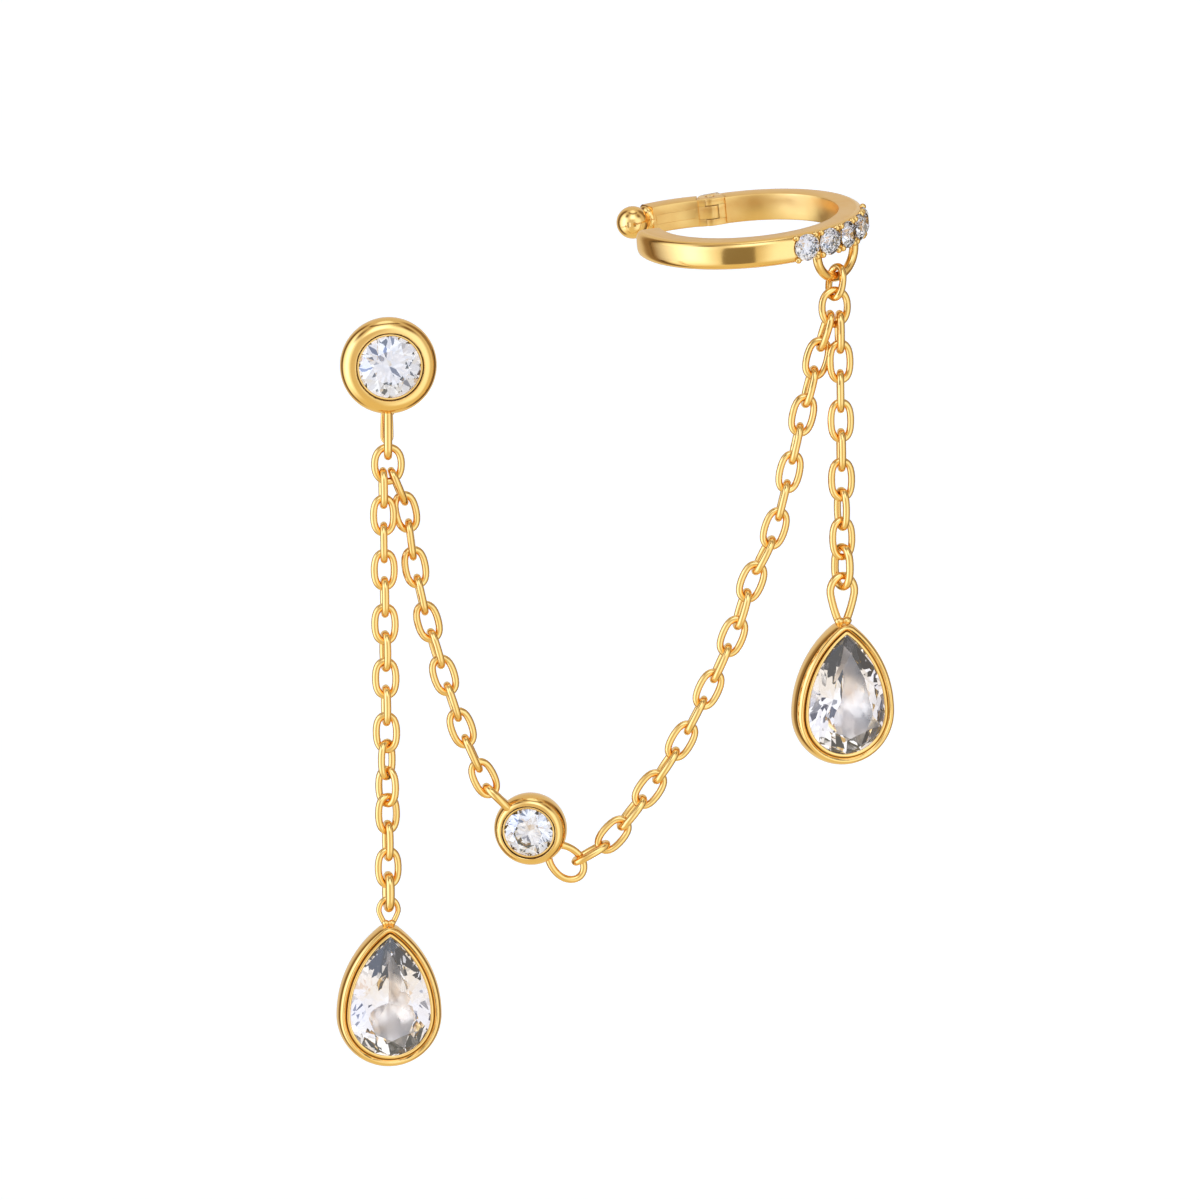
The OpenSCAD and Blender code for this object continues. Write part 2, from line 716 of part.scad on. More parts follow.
bead_lean = 1.25;
bead_down = 0.12;
bead_z = cuff_h / 2 - bead_down;
bead_in = 0.16;
module cuff_band() color(gold) at_cuff() {
    ear_h = (cuff_h - tongue_h) / 2 - hinge_fit;
    difference() {
        union() {
            band_arc(-band_end, hinge_at - body_gap_a);
            at_hinge()
                for (side = [0, 1])
                    mirror([0, 0, side])
                        translate([0, 0, cuff_h / 2 - ear_h]) {
                            cylinder(r = knuckle_r, h = ear_h);
                            translate([-body_gap - knuckle_r, -knuckle_r, 0])
                                cube([body_gap + knuckle_r, 2 * knuckle_r, ear_h]);
                        }
            rotate([0, 0, -band_end])
                translate([0, -cuff_mid_r, 0])
                    rounded_free_end();
        }
        at_hinge()
            cylinder(r = hinge_pin_r + hinge_fit, h = cuff_h + overrun, center = true);
        for (i = [0:cuff_stones - 1])
            at_pave(i, pave_girdle_r - girdle_half)
                rotate_extrude()
                    polygon([
                        [0, -pave_cone_l],
                        [pave_cone_r, 0],
                        [pave_seat_r, 0],
                        [pave_seat_r, cuff_t],
                        [0, cuff_t]
                    ]);
    }
    for (i = [-0.5:cuff_stones - 0.5])
        for (side = [-1, 1])
            for (lean = [-1, 1])
                translate(around(pave_angle(i) + lean * bead_lean, cuff_r - bead_in, side * bead_z))
                    sphere(r = bead_r);
    translate(around(loop_at, loop_mid_r, loop_up - cuff_h / 2))
        rotate([0, 0, loop_at])
            rotate([90, 0, 0])
                rotate([0, 0, 180])
                    rotate_extrude(angle = 180)
                        translate([loop_r, 0])
                            circle(d = loop_wire);
}

// The band's free end is rounded off
module rounded_free_end()
    intersection() {
        sphere(r = cuff_h / 2);
        cube([cuff_t * 2, cuff_t, cuff_h], center = true);
    }

module cuff_hinge_pin() color(gold)
    at_cuff()
        at_hinge()
            cylinder(r = hinge_pin_r, h = cuff_h, center = true);

// The arm is drawn closed and then turned open about the hinge
module opened()
    at_cuff()
        translate(around(hinge_at, cuff_mid_r))
            rotate([0, 0, -arm_open])
                translate(-around(hinge_at, cuff_mid_r))
                    children();

neck_span = 10;
neck_root = 4;
neck_r = 0.6;
leaf_from = 9;
leaf_before_neck = 2;
leaf_to = arm_span - neck_span - leaf_before_neck;
leaf_end_gap = 1;
module cuff_arm() color(gold) opened() {
    difference() {
        union() {
            band_arc(hinge_at + body_gap_a, hinge_at + arm_span - neck_span);
            at_hinge() {
                cylinder(r = knuckle_r, h = tongue_h, center = true);
                translate([0, -knuckle_r, -tongue_h / 2])
                    cube([body_gap + knuckle_r, 2 * knuckle_r, tongue_h]);
            }
        }
        at_hinge()
            cylinder(r = hinge_pin_r + hinge_fit, h = cuff_h, center = true);
        leaf(leaf_t + stone_gap, leaf_h + 2 * stone_gap, leaf_from - leaf_end_gap, leaf_to + leaf_end_gap);
    }
    rotate([0, 0, hinge_at + arm_span - neck_span - neck_root - 90])
        rotate_extrude(angle = neck_span + neck_root, $fn = 96)
            translate([cuff_mid_r, 0])
                circle(r = neck_r);
    translate(around(hinge_at + arm_span, cuff_mid_r))
        sphere(r = ball_r);
}

// A strip let into the arm's inner face
module leaf(t, h, from, to)
    rotate([0, 0, hinge_at + from - 90])
        rotate_extrude(angle = to - from, $fn = 96)
            translate([cuff_r - cuff_t - skin * sign(t - leaf_t), -h / 2])
                square([t, h]);

module cuff_spring_leaf() color(gold)
    opened()
        leaf(leaf_t, leaf_h, leaf_from, leaf_to);

module cuff_stone(i) color(clear_stone)
    at_cuff()
        at_pave(i, pave_girdle_r)
            round_stone(pave_r);

stud_setting();
stud_stone();
lobe_drop_chain();
lobe_drop_setting();
lobe_drop_stone();
stud_side_chain();
station_setting();
station_stone();
cuff_side_chain();
cuff_drop_chain();
cuff_drop_setting();
cuff_drop_stone();
cuff_band();
cuff_hinge_pin();
cuff_arm();
cuff_spring_leaf();
cuff_stone(0);  // cuff_stone_1
cuff_stone(1);  // cuff_stone_2
cuff_stone(2);  // cuff_stone_3
cuff_stone(3);  // cuff_stone_4
cuff_stone(4);  // cuff_stone_5
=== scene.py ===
# Ear chain earring, dressed for its picture: polished gold round cut stones, a fine link
# chain from the lobe stud over a small station up to the hinged ear cuff, and two pear drops.
import math

import bmesh
import bpy
from mathutils import Matrix, Vector


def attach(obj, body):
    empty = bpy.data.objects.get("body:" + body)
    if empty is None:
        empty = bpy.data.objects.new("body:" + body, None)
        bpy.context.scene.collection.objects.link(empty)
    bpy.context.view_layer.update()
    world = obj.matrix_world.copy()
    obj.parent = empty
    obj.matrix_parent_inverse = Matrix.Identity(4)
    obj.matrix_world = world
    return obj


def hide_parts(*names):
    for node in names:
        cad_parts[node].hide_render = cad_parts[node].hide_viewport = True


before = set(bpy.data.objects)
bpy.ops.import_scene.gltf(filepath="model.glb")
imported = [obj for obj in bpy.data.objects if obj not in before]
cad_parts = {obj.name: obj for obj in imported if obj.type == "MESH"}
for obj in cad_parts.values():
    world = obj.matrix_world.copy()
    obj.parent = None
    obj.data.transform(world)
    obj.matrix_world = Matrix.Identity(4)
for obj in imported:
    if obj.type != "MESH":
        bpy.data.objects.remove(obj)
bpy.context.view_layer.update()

# Sizes in millimetres, the same as in the part's own source
METRES = 0.001
GIRDLE_HALF, GIRDLE_UNDER_RIM, RIM_DROP = 0.04, 0.18, 0.72
BACK_ROUND = 1.7
CROWN_SHARE, PAVILION_SHARE, TABLE_INSET = 0.3, 0.84, 0.43
STAR_HEIGHT, LOWER_SHARE = 0.5, 0.25

STUD_STONE_R, STUD_WALL, STUD_DEPTH = 1.575, 0.85, 1.9
STUD_R = STUD_STONE_R + STUD_WALL
STATION_STONE_R, STATION_WALL, STATION_DEPTH = 1.25, 0.59, 1.7
STATION_R = STATION_STONE_R + STATION_WALL
STATION_TURN, STATION_TILT = 17, 7
POST_R, POST_L = 0.4, 10

PEAR_R, PEAR_H, PEAR_WALL, PEAR_DEPTH, PEAR_TIP = 2.05, 6.1, 0.62, 2.2, 0.57
PEAR_TIP_Z = PEAR_H - PEAR_R
PEAR_SIDE_R = (PEAR_TIP_Z ** 2 + PEAR_R ** 2) / (2 * PEAR_R)
PEAR_SIDE_X = PEAR_SIDE_R - PEAR_R
PEAR_SIDE_A = math.degrees(math.asin(PEAR_TIP_Z / PEAR_SIDE_R))
CUFF_DROP_TURN = 11

WIRE, LINK_W, JUNCTION_W, JUNCTION_L, LINK_GAP = 0.32, 1.44, 1.76, 2.1, 0.12
LOBE_LINKS, STUD_SIDE_LINKS, CUFF_SIDE_LINKS, CUFF_DROP_LINKS = 15, 12, 21, 8
JUMP_WIRE, JUMP_W, LINK_SWAY, CHAIN_Y = 0.45, 1.6, 7, -0.9
EYE_WIRE, EYE_R, STUD_EYE_REACH = 0.42, 0.5, 1.68
STATION_EYE_REACH, STATION_RING_R, STATION_RING_REACH = 0.78, 0.72, 0.96
LOBE_EYE_WIRE, LOBE_EYE_R, LOBE_EYE_REACH = 0.3, 0.46, 0.75
CUFF_EYE_WIRE, CUFF_EYE_R, CUFF_EYE_REACH = 0.42, 0.62, 1.65
EYE_BEHIND, DROP_GAP = 0.1, 0.08

CUFF_R, CUFF_T, CUFF_H = 5.83, 1.3, 1.4
CUFF_MID_R = CUFF_R - CUFF_T / 2
BAND_END, HINGE_AT, ARM_SPAN, ARM_OPEN = 77, 201, 47.5, 27
BALL_R, KNUCKLE_R, PIN_R, TONGUE_H, HINGE_FIT = 0.83, 0.55, 0.2, 0.66, 0.03
BODY_GAP = KNUCKLE_R + 0.1
BODY_GAP_A = 2 * math.degrees(math.asin(BODY_GAP / 2 / CUFF_MID_R))
LEAF_H, LEAF_T, LEAF_FROM, LEAF_TO = 0.5, 0.16, 9, 35.5
NECK_SPAN = 10
CUFF_STONES, PAVE_R, PAVE_FROM, PAVE_STEP = 5, 0.675, 29, 14.5
PAVE_GIRDLE_R = CUFF_R - 0.06
LOOP_R, LOOP_WIRE = 1.35, 0.48

STATION_AT = Vector((7.15, -23.62))
LOBE_DROP_HOOK = Vector((-0.03, -26.1))
CUFF_DROP_HOOK = Vector((22.93, -9.98))
CUFF_JUNCTION_HOOK = Vector((22.5, 3.13))
CUFF_AT, CUFF_TIP_OVER = (18.8, 3.15, 5.95), (6, -5, -8)
STUD_SIDE_ROUTE = [(0.95, -7.3), (1.35, -10), (2.0, -13), (3.7, -18.5)]
CUFF_SIDE_ROUTE = [(11.3, -24.1), (14.7, -19.5), (17.35, -14.15), (18.3, -11.3), (19.55, -8.6), (21, -2.8)]

# Wires as they show: the links' is a little thicker round its own middle than in the solids and
# the cuff's jump ring thinner, and the eyes run on into their settings and solder
LINK_WIRE, CUFF_JUMP_WIRE = 0.37, 0.4
STUD_EYE_ROOT, STATION_EYE_ROOT, DROP_EYE_ROOT, SUNK = 0.2, 0.25, 0.15, 0.02
STUD_SOLDER_R, LOBE_SOLDER_R, CUFF_SOLDER_R = 0.19, 0.2, 0.26
# Single eyes and rings turned about their own length, in degrees
STUD_EYE_TURN, LOBE_JUMP_TURN, CUFF_JUMP_TURN, CUFF_LINK_TURN, CUFF_JUNCTION_TURN = 84, 93, 118, 122, 10
# Faces marked for a piece's second or third finish
SECOND_FINISH, THIRD_FINISH = 1, 2


def cos(degrees):
    return math.cos(math.radians(degrees))


def sin(degrees):
    return math.sin(math.radians(degrees))


def turn(axis, degrees):
    return Matrix.Rotation(math.radians(degrees), 4, axis)


def moved(point):
    return Matrix.Translation(point)


def shift(x, y, z):
    return moved((x, y, z))


def tip_over(x, y, z):
    """Turned about X, then Y, then Z."""
    return turn("Z", z) @ turn("Y", y) @ turn("X", x)


def on_plane(p, depth=0.0):
    """A point of the chains' plane in space."""
    return Vector((p[0], CHAIN_Y + depth, p[1]))


def arc(centre, radii, start, end, steps):
    """Points along part of a circle or oval, from one angle to another."""
    angles = [start + (end - start) * i / steps for i in range(steps + 1)]
    return [(centre[0] + radii[0] * cos(a), centre[1] + radii[1] * sin(a)) for a in angles]


# Bench work: turning, bending wire, cutting stones and joining

def in_scene(name, shape, *finishes):
    """The shape as an object of the scene, with its finishes."""
    mesh = bpy.data.meshes.new(name)
    shape.to_mesh(mesh)
    shape.free()
    for finish in finishes:
        mesh.materials.append(finish)
    made = bpy.data.objects.new(name, mesh)
    bpy.context.scene.collection.objects.link(made)
    return made


def merged(shape, near=1e-5):
    """Points that lie on each other become one."""
    bmesh.ops.remove_doubles(shape, verts=shape.verts, dist=near)
    return shape


def outward(shape):
    """Every face turned to face outwards."""
    bmesh.ops.recalc_face_normals(shape, faces=shape.faces)
    return shape


def placed(shape, *moves):
    """The shape moved by each matrix, the last one first."""
    for move in reversed(moves):
        bmesh.ops.transform(shape, matrix=move, verts=shape.verts)
    return shape


def turned(profile, steps, angle=360.0, closed=False):
    """A profile of (radius, height) points spun about Z."""
    shape = bmesh.new()
    verts = [shape.verts.new((r, 0, z)) for r, z in profile]
    ends = verts[1:] + verts[:1] if closed else verts[1:]
    edges = [shape.edges.new(pair) for pair in zip(verts, ends)]
    bmesh.ops.spin(shape, geom=verts + edges, cent=(0, 0, 0), axis=(0, 0, 1), dvec=(0, 0, 0),
                   angle=math.radians(angle), steps=steps, use_merge=angle == 360.0, use_duplicate=False)
    return merged(shape)


def close_ends(shape):
    """Fills the open ends of a swept shape."""
    bmesh.ops.holes_fill(shape, edges=[e for e in shape.edges if e.is_boundary], sides=0)
    return shape


def bead(radii, steps=20):
    """A round or oval bead."""
    shape = bmesh.new()
    bmesh.ops.create_uvsphere(shape, u_segments=steps, v_segments=steps // 2, radius=1.0,
                              matrix=Matrix.Diagonal((*radii, 1.0)))
    return shape


def joined(*shapes):
    """Several shapes as one."""
    whole = bmesh.new()
    for shape in shapes:
        held = bpy.data.meshes.new("held")
        shape.to_mesh(held)
        shape.free()
        whole.from_mesh(held)
        bpy.data.meshes.remove(held)
    return whole


def bent_wire(path, sides=16):
    """A wire swept upright in the XZ plane along (x, z, facing, thickness) steps, with closed ends."""
    def frame_at(step):
        x, z, facing, thick = step
        return shift(x, 0, z) @ turn("Y", -facing) @ Matrix.Diagonal((thick, thick, thick, 1.0))
    shape = bmesh.new()
    bmesh.ops.create_circle(shape, segments=sides, radius=0.5, matrix=frame_at(path[0]))
    ring = shape.edges[:]
    for before, after in zip(path, path[1:]):
        grown = bmesh.ops.extrude_edge_only(shape, edges=ring)["geom"]
        ring = [g for g in grown if isinstance(g, bmesh.types.BMEdge)]
        verts = [g for g in grown if isinstance(g, bmesh.types.BMVert)]
        bmesh.ops.transform(shape, matrix=frame_at(after) @ frame_at(before).inverted(), verts=verts)
    return close_ends(shape)


def link(length, width, wire, steps=32, sides=12):
    """An oval link, upright in the XZ plane."""
    straight_sides = 1.6
    ring_r = (width - wire) / 2
    half_step = 180.0 / steps
    shape = bmesh.new()
    bmesh.ops.create_circle(shape, segments=sides, radius=wire / 2, matrix=shift(ring_r, 0, 0))
    placed(shape, turn("Y", half_step))
    bmesh.ops.spin(shape, geom=shape.verts[:] + shape.edges[:], cent=(0, 0, 0), axis=(0, 1, 0),
                   dvec=(0, 0, 0), angle=math.radians(360), steps=steps, use_merge=True, use_duplicate=False)
    for v in shape.verts:
        rise = v.co.z / math.hypot(v.co.x, v.co.z)
        v.co.z += (length - width) / 2 * math.tanh(straight_sides * rise) / math.tanh(straight_sides)
    return shape


def link_between(start, end, roll, width, wire, worn_wire, steps=32, sides=12):
    """A link whose ends hook at two points, rolled about the line between them. The worn wire is
    the thickness that shows, on the same middle line as the wire of the solids."""
    along = (end - start).normalized()
    flat = along.cross(Vector((0, 1, 0))).normalized()
    deep = along.cross(flat)
    across = flat * cos(roll) - deep * sin(roll)
    normal = along.cross(across)
    middle = (start + end) / 2
    fatter = worn_wire - wire
    length = (end - start).length + 2 * wire + LINK_GAP
    hang = Matrix((across, normal, along)).transposed().to_4x4()
    return placed(link(length, width - fatter, worn_wire, steps, sides), moved(middle), hang)


# Routes of the strands

def smooth_route(points, steps=20):
    """A smooth curve through the points, as many short steps."""
    p = [Vector(q) for q in points]
    p = [2 * p[0] - p[1]] + p + [2 * p[-1] - p[-2]]
    curve = []
    for a, b, c, d in zip(p, p[1:], p[2:], p[3:]):
        for i in range(steps):
            t = i / steps
            curve.append((2 * b + (c - a) * t + (2 * a - 5 * b + 4 * c - d) * t ** 2
                          + (3 * b - a - 3 * c + d) * t ** 3) / 2)
    return curve + [p[-2]]


def hooks(points, count):
    """The hook points of a strand of so many links."""
    curve = smooth_route(points)
    travelled = [0.0]
    for a, b in zip(curve, curve[1:]):
        travelled.append(travelled[-1] + (b - a).length)
    found, k = [], 0
    for i in range(count + 1):
        want = travelled[-1] * i / count
        while k < len(curve) - 2 and travelled[k + 1] < want:
            k += 1
        share = (want - travelled[k]) / (travelled[k + 1] - travelled[k])
        found.append(curve[k].lerp(curve[k + 1], share))
    return found


def eased(x):
    return min(1.0, max(0.0, x))


def link_roll(i, count, quarter):
    """Links alternate between edge on and face on, sway a little, and may turn along the strand."""
    turn_from, turn_to, sway_step = 0.54, 0.9, 137
    return (90 * (i + 1) + LINK_SWAY * sin(i * sway_step)
            - quarter * 90 * eased((i / count - turn_from) / (turn_to - turn_from)))


def step_back(k):
    """How far a strand lies behind its neighbour, so many links from their junction."""
    strand_step, strand_step_links = 0.46, 6
    return 0.0 if k == 0 else strand_step * (1 - eased((k - 2) / strand_step_links))


def strand(points, count, quarter=0, back_from_start=False, back_to_end=False):
    at = hooks(points, count)
    depth = [(step_back(i) if back_from_start else 0) + (step_back(count - i) if back_to_end else 0)
             for i in range(count + 1)]
    hung = [on_plane(p, d) for p, d in zip(at, depth)]
    return [link_between(hung[i], hung[i + 1], link_roll(i, count, quarter), LINK_W, WIRE, LINK_WIRE)
            for i in range(count)]


JUNCTION_INNER_R = JUNCTION_W / 2 - WIRE
JUNCTION_PATH_R = JUNCTION_INNER_R - LINK_GAP - WIRE / 2
JUNCTION_PART = math.degrees(math.asin((WIRE + 1.5 * LINK_GAP) / 2 / JUNCTION_PATH_R))
JUNCTION_REACH = JUNCTION_L - 2 * WIRE - LINK_GAP


def junction_hook(top, side):
    """Where one of two strands hooks into the lower end of a junction link."""
    low = top + Vector((0, -JUNCTION_REACH - LINK_GAP / 2 + JUNCTION_INNER_R))
    return (low + JUNCTION_PATH_R * Vector((side * sin(JUNCTION_PART), -cos(JUNCTION_PART)))
            - Vector((0, (WIRE + LINK_GAP) / 2)))


def ray(angle):
    return Vector((cos(angle), sin(angle)))


LOBE_JUNCTION_TOP = Vector((0, (EYE_WIRE + LINK_GAP) / 2 - STUD_R - STUD_EYE_REACH - EYE_R))
STATION_EYE_ANGLE, STATION_RING_ANGLE, RING_PULL_ANGLE = 135.5, -44, 37
STATION_EYE_MID = STATION_AT + (STATION_R + STATION_EYE_REACH) * ray(STATION_EYE_ANGLE)
STATION_RING_MID = STATION_AT + (STATION_R + STATION_RING_REACH) * ray(STATION_RING_ANGLE)
STUD_SIDE_END = STATION_EYE_MID + (EYE_R - EYE_WIRE / 2 - LINK_GAP / 2) * ray(STATION_EYE_ANGLE)
CUFF_SIDE_START = STATION_RING_MID + (STATION_RING_R - WIRE / 2 - LINK_GAP / 2) * ray(RING_PULL_ANGLE)


def pivot(hook, reach):
    """The middle of a jump ring's lower wire, where its drop hangs."""
    return hook - Vector((0, reach + (LINK_GAP + JUMP_WIRE) / 2))


LOBE_JUMP_REACH, CUFF_JUMP_REACH = 1.08, 1.4
LOBE_PIVOT = pivot(LOBE_DROP_HOOK, LOBE_JUMP_REACH)
CUFF_PIVOT = pivot(CUFF_DROP_HOOK, CUFF_JUMP_REACH)


# Outlines: a round setting's own circle, or the pear with its round end down and its tip up

TIP_FAN, PEAR_EDGE, PEAR_MIDDLE_UP = 8.0, 0.3, 0.6


def pear_edge(angle, grow):
    """The pear outline moved outwards by grow, at an angle round its round end's middle."""
    side = 1 if cos(angle) >= 0 else -1
    a = math.degrees(math.asin(max(-1.0, min(1.0, sin(angle)))))
    if a <= 0:
        return (side * (PEAR_R + grow) * cos(a), (PEAR_R + grow) * sin(a))
    if a <= 90 - TIP_FAN:
        b = PEAR_SIDE_A * a / (90 - TIP_FAN)
        x, y = (PEAR_SIDE_R + grow) * cos(b) - PEAR_SIDE_X, (PEAR_SIDE_R + grow) * sin(b)
    else:
        b = PEAR_SIDE_A + (90 - PEAR_SIDE_A) * (a - 90 + TIP_FAN) / TIP_FAN
        flat = PEAR_TIP / PEAR_WALL if grow > 0 else 1.0
        x, y = grow * cos(b), PEAR_TIP_Z + grow * sin(b) * flat
    return (side * max(x, 0.0), y)


def to_pear(shape):
    """A shape turned about Z for a round stone of the pear's radius takes the pear's outline."""
    for v in shape.verts:
        r = math.hypot(v.co.x, v.co.y)
        angle = math.degrees(math.atan2(v.co.y, v.co.x))
        if r > PEAR_R - PEAR_EDGE:
            v.co.x, v.co.y = pear_edge(angle, r - PEAR_R)
        else:
            x, y = pear_edge(angle, -PEAR_EDGE)
            share = r / (PEAR_R - PEAR_EDGE)
            v.co.x, v.co.y = x * share, y * share + PEAR_MIDDLE_UP * (1 - share)
    return shape


def round_place(r):
    """Sixteen places round a round stone: the outline's point and the way that it faces."""
    def place(u):
        facing = 90 - 22.5 * u
        return Vector((r * cos(facing), r * sin(facing))), facing
    return place


def pear_place(u):
    if u > 8:
        point, facing = pear_place(16 - u)
        return Vector((-point.x, point.y)), 180 - facing
    if u <= 4:
        a = PEAR_SIDE_A * (4 - u) / 4
        return (Vector((PEAR_SIDE_R * cos(a) - PEAR_SIDE_X, PEAR_SIDE_R * sin(a))), 90 if u == 0 else a)
    a = -22.5 * (u - 4)
    return Vector((PEAR_R * cos(a), PEAR_R * sin(a))), a


def meet(a, da, b, db):
    """Where two facets' lines cross, each given by the way that it faces and its distance."""
    k = cos(a) * sin(b) - cos(b) * sin(a)
    return Vector(((da * sin(b) - db * sin(a)) / k, (db * cos(a) - da * cos(b)) / k))


def facet(stone, a, b, c):
    """Grinds the stone down to the plane through three points."""
    normal = (b - a).cross(c - a).normalized()
    if normal.dot(a) < 0:
        normal.negate()
    bmesh.ops.bisect_plane(stone, geom=stone.verts[:] + stone.edges[:] + stone.faces[:], dist=1e-4,
                           plane_co=a, plane_no=normal, clear_outer=True)
    close_ends(stone)


def cut_stone(place, radius, culet, blank, broken=False):
    """A brilliant cut by its facets, with its girdle on z = 0 and its table up. A broken pavilion
    turns flatter half way down, at the mains and between them."""
    crown, pavilion, inset = radius * CROWN_SHARE, radius * PAVILION_SHARE, radius * TABLE_INSET
    top, bottom = GIRDLE_HALF + crown, -GIRDLE_HALF - pavilion
    mains = [place(2 * i) for i in range(8)]
    middles = [place(2 * i + 1)[0] for i in range(8)]
    culet_at = Vector((*culet, bottom))
    table_z = Vector((0, 0, top))
    facet(blank, table_z, table_z + Vector((1, 0, 0)), table_z + Vector((0, 1, 0)))
    tables = [(m - inset * ray(a)).to_3d() + table_z for m, a in mains]
    stars, lowers = [], []
    for (m, a), (n, b) in zip(mains, mains[1:] + mains[:1]):
        star = meet(a, m.dot(ray(a)) - inset * STAR_HEIGHT, b, n.dot(ray(b)) - inset * STAR_HEIGHT)
        stars.append(Vector((*star, GIRDLE_HALF + crown * STAR_HEIGHT)))
        low = culet + LOWER_SHARE * meet(a, (m - culet).dot(ray(a)), b, (n - culet).dot(ray(b)))
        lowers.append(Vector((*low, -GIRDLE_HALF - pavilion * (1 - LOWER_SHARE))))
    for i, (m, a) in enumerate(mains):
        edge_way = Vector((-sin(a), cos(a), 0))
        upper, lower = Vector((*m, GIRDLE_HALF)), Vector((*m, -GIRDLE_HALF))
        facet(blank, upper, upper + edge_way, tables[i])
        facet(blank, lower, lower + edge_way, culet_at)
    for i in range(8):
        j = (i + 1) % 8
        facet(blank, tables[i], tables[j], stars[i])
        for end in (i, j):
            for height, inner in ((GIRDLE_HALF, stars[i]), (-GIRDLE_HALF, lowers[i])):
                facet(blank, inner, Vector((*mains[end][0], height)), Vector((*middles[i], height)))
    for u in range(16 if broken else 0):
        (m, a), (down, blunt) = place(u), (0.5, 0.06) if u % 2 else (0.62, 0.04)
        edge_way = Vector((-sin(a), cos(a), 0))
        half_way = Vector((*m.lerp(culet, down), -GIRDLE_HALF - pavilion * down))
        facet(blank, half_way, half_way + edge_way, culet_at + Vector((0, 0, pavilion * blunt)))
    return blank


def stone_blank(radius, sides):
    blank = bmesh.new()
    bmesh.ops.create_cone(blank, cap_ends=True, segments=sides, radius1=radius, radius2=radius,
                          depth=2 * radius)
    return blank


def round_stone(radius):
    return cut_stone(round_place(radius), radius, Vector((0, 0)), stone_blank(radius, 64))


def pear_stone():
    culet_up = PEAR_R * 0.25
    blank = stone_blank(PEAR_R, 96)
    for v in blank.verts:
        v.co.x, v.co.y = pear_edge(math.degrees(math.atan2(v.co.y, v.co.x)), 0.0)
    return cut_stone(pear_place, PEAR_R, Vector((0, culet_up)), merged(blank, 1e-4), broken=True)


# Settings

SHALLOW_CREST, SHALLOW_LIP, WIDE_CREST, WIDE_LIP = 0.16, 0.055, 0.34, 0.08


def setting_profile(stone_r, wall, depth, crest, lip):
    """Half section of a closed setting: back, rounded side, domed rim, the fine groove inside the
    rim, the bright lip over the stone's girdle, and the seat under the stone."""
    groove_w, lip_over, lip_up, seat_gap = 0.038, 0.025, 0.065, 0.06
    r_out, wide = stone_r + wall, depth - RIM_DROP
    back_a = math.degrees(math.asin(wide / BACK_ROUND))
    crest_r, crest_z = stone_r + crest, depth - 0.01
    girdle = depth - GIRDLE_UNDER_RIM
    culet = girdle - stone_r * PAVILION_SHARE
    lip_r = stone_r - lip_over + lip
    groove_r = lip_r + lip + groove_w + 0.002
    soft_in = (crest_r - groove_r) * 0.4
    slope = arc((crest_r, crest_z - soft_in), (soft_in, soft_in), 90, 135, 5)[1:]
    back = arc((r_out - BACK_ROUND, wide), (BACK_ROUND, BACK_ROUND), -back_a, 0, 12)
    back_r = back[0][0]
    return ([(0, 0), (back_r - 0.12, 0.0), (back_r - 0.04, 0.015), (back_r + 0.03, 0.045)] + back[1:]
            + arc((crest_r, wide), (r_out - crest_r, crest_z - wide), 0, 90, 20)[1:]
            + slope + [(groove_r, slope[-1][1] - (slope[-1][0] - groove_r))]
            + [(groove_r, girdle), (groove_r - groove_w, girdle)]
            + arc((lip_r, girdle + lip_up), (lip, 0.05), 0, 180, 8)
            + [(stone_r - 0.02, girdle + 0.05), (stone_r + 0.02, girdle + 0.04),
               (stone_r + 0.02, girdle - seat_gap), (stone_r - 0.1, girdle - 0.15),
               (0.15, culet - seat_gap), (0, culet - 0.08)])


def setting(stone_r, wall, depth, steps, crest=SHALLOW_CREST, lip=SHALLOW_LIP, foiled=False):
    """A turned setting. The faces of its fine groove take the second finish, a dark brown that paints
    the shade falling in the groove, and the seat of a foiled setting takes the third, the pale foil
    under the stone. One row of faces at the back's shoulder takes the foil too."""
    groove_mid, groove_half, groove_deep = stone_r + 2 * lip, 0.026, 0.4
    seat_r, back_z, seat_z = stone_r + 0.015, 0.1, depth - GIRDLE_UNDER_RIM + 0.045
    shape = turned(setting_profile(stone_r, wall, depth, crest, lip), steps)
    for f in shape.faces:
        middle = f.calc_center_median()
        r = math.hypot(middle.x, middle.y)
        if abs(r - groove_mid) < groove_half and middle.z > depth - groove_deep:
            f.material_index = SECOND_FINISH
        if foiled and r < seat_r and back_z < middle.z < seat_z:
            f.material_index = THIRD_FINISH
    return shape


def eye_path(r, thick, reach, lean=62.0, flare=1.0, pinch=0.0, steps=28):
    """A drop-shaped loop: round at the top, its sides curving in to the root, where the wire may
    be thicker and the sides pinched together. The reach is from its middle down to the root."""
    widest_down = 0.28
    low = -widest_down * r
    path = []
    for k in range(steps + 1):
        a = -lean + (180 + 2 * lean) * k / steps
        half = r - low if a >= 0 and a <= 180 else (reach + low) / sin(lean)
        near_root = max(0.0, -sin(a)) / sin(lean)
        facing = math.degrees(math.atan2(sin(a) * r, cos(a) * half))
        path.append((r * cos(a) * (1 - pinch * near_root), low + half * sin(a), facing,
                     thick * (1 + (flare - 1) * near_root ** 3)))
    return path


def solder(at, size):
    """The two bright beads of solder at an eye's root."""
    return [placed(bead((size, size * 0.9, size * 0.8)), shift(*at), shift(side * size * 0.75, 0, 0))
            for side in (-1, 1)]


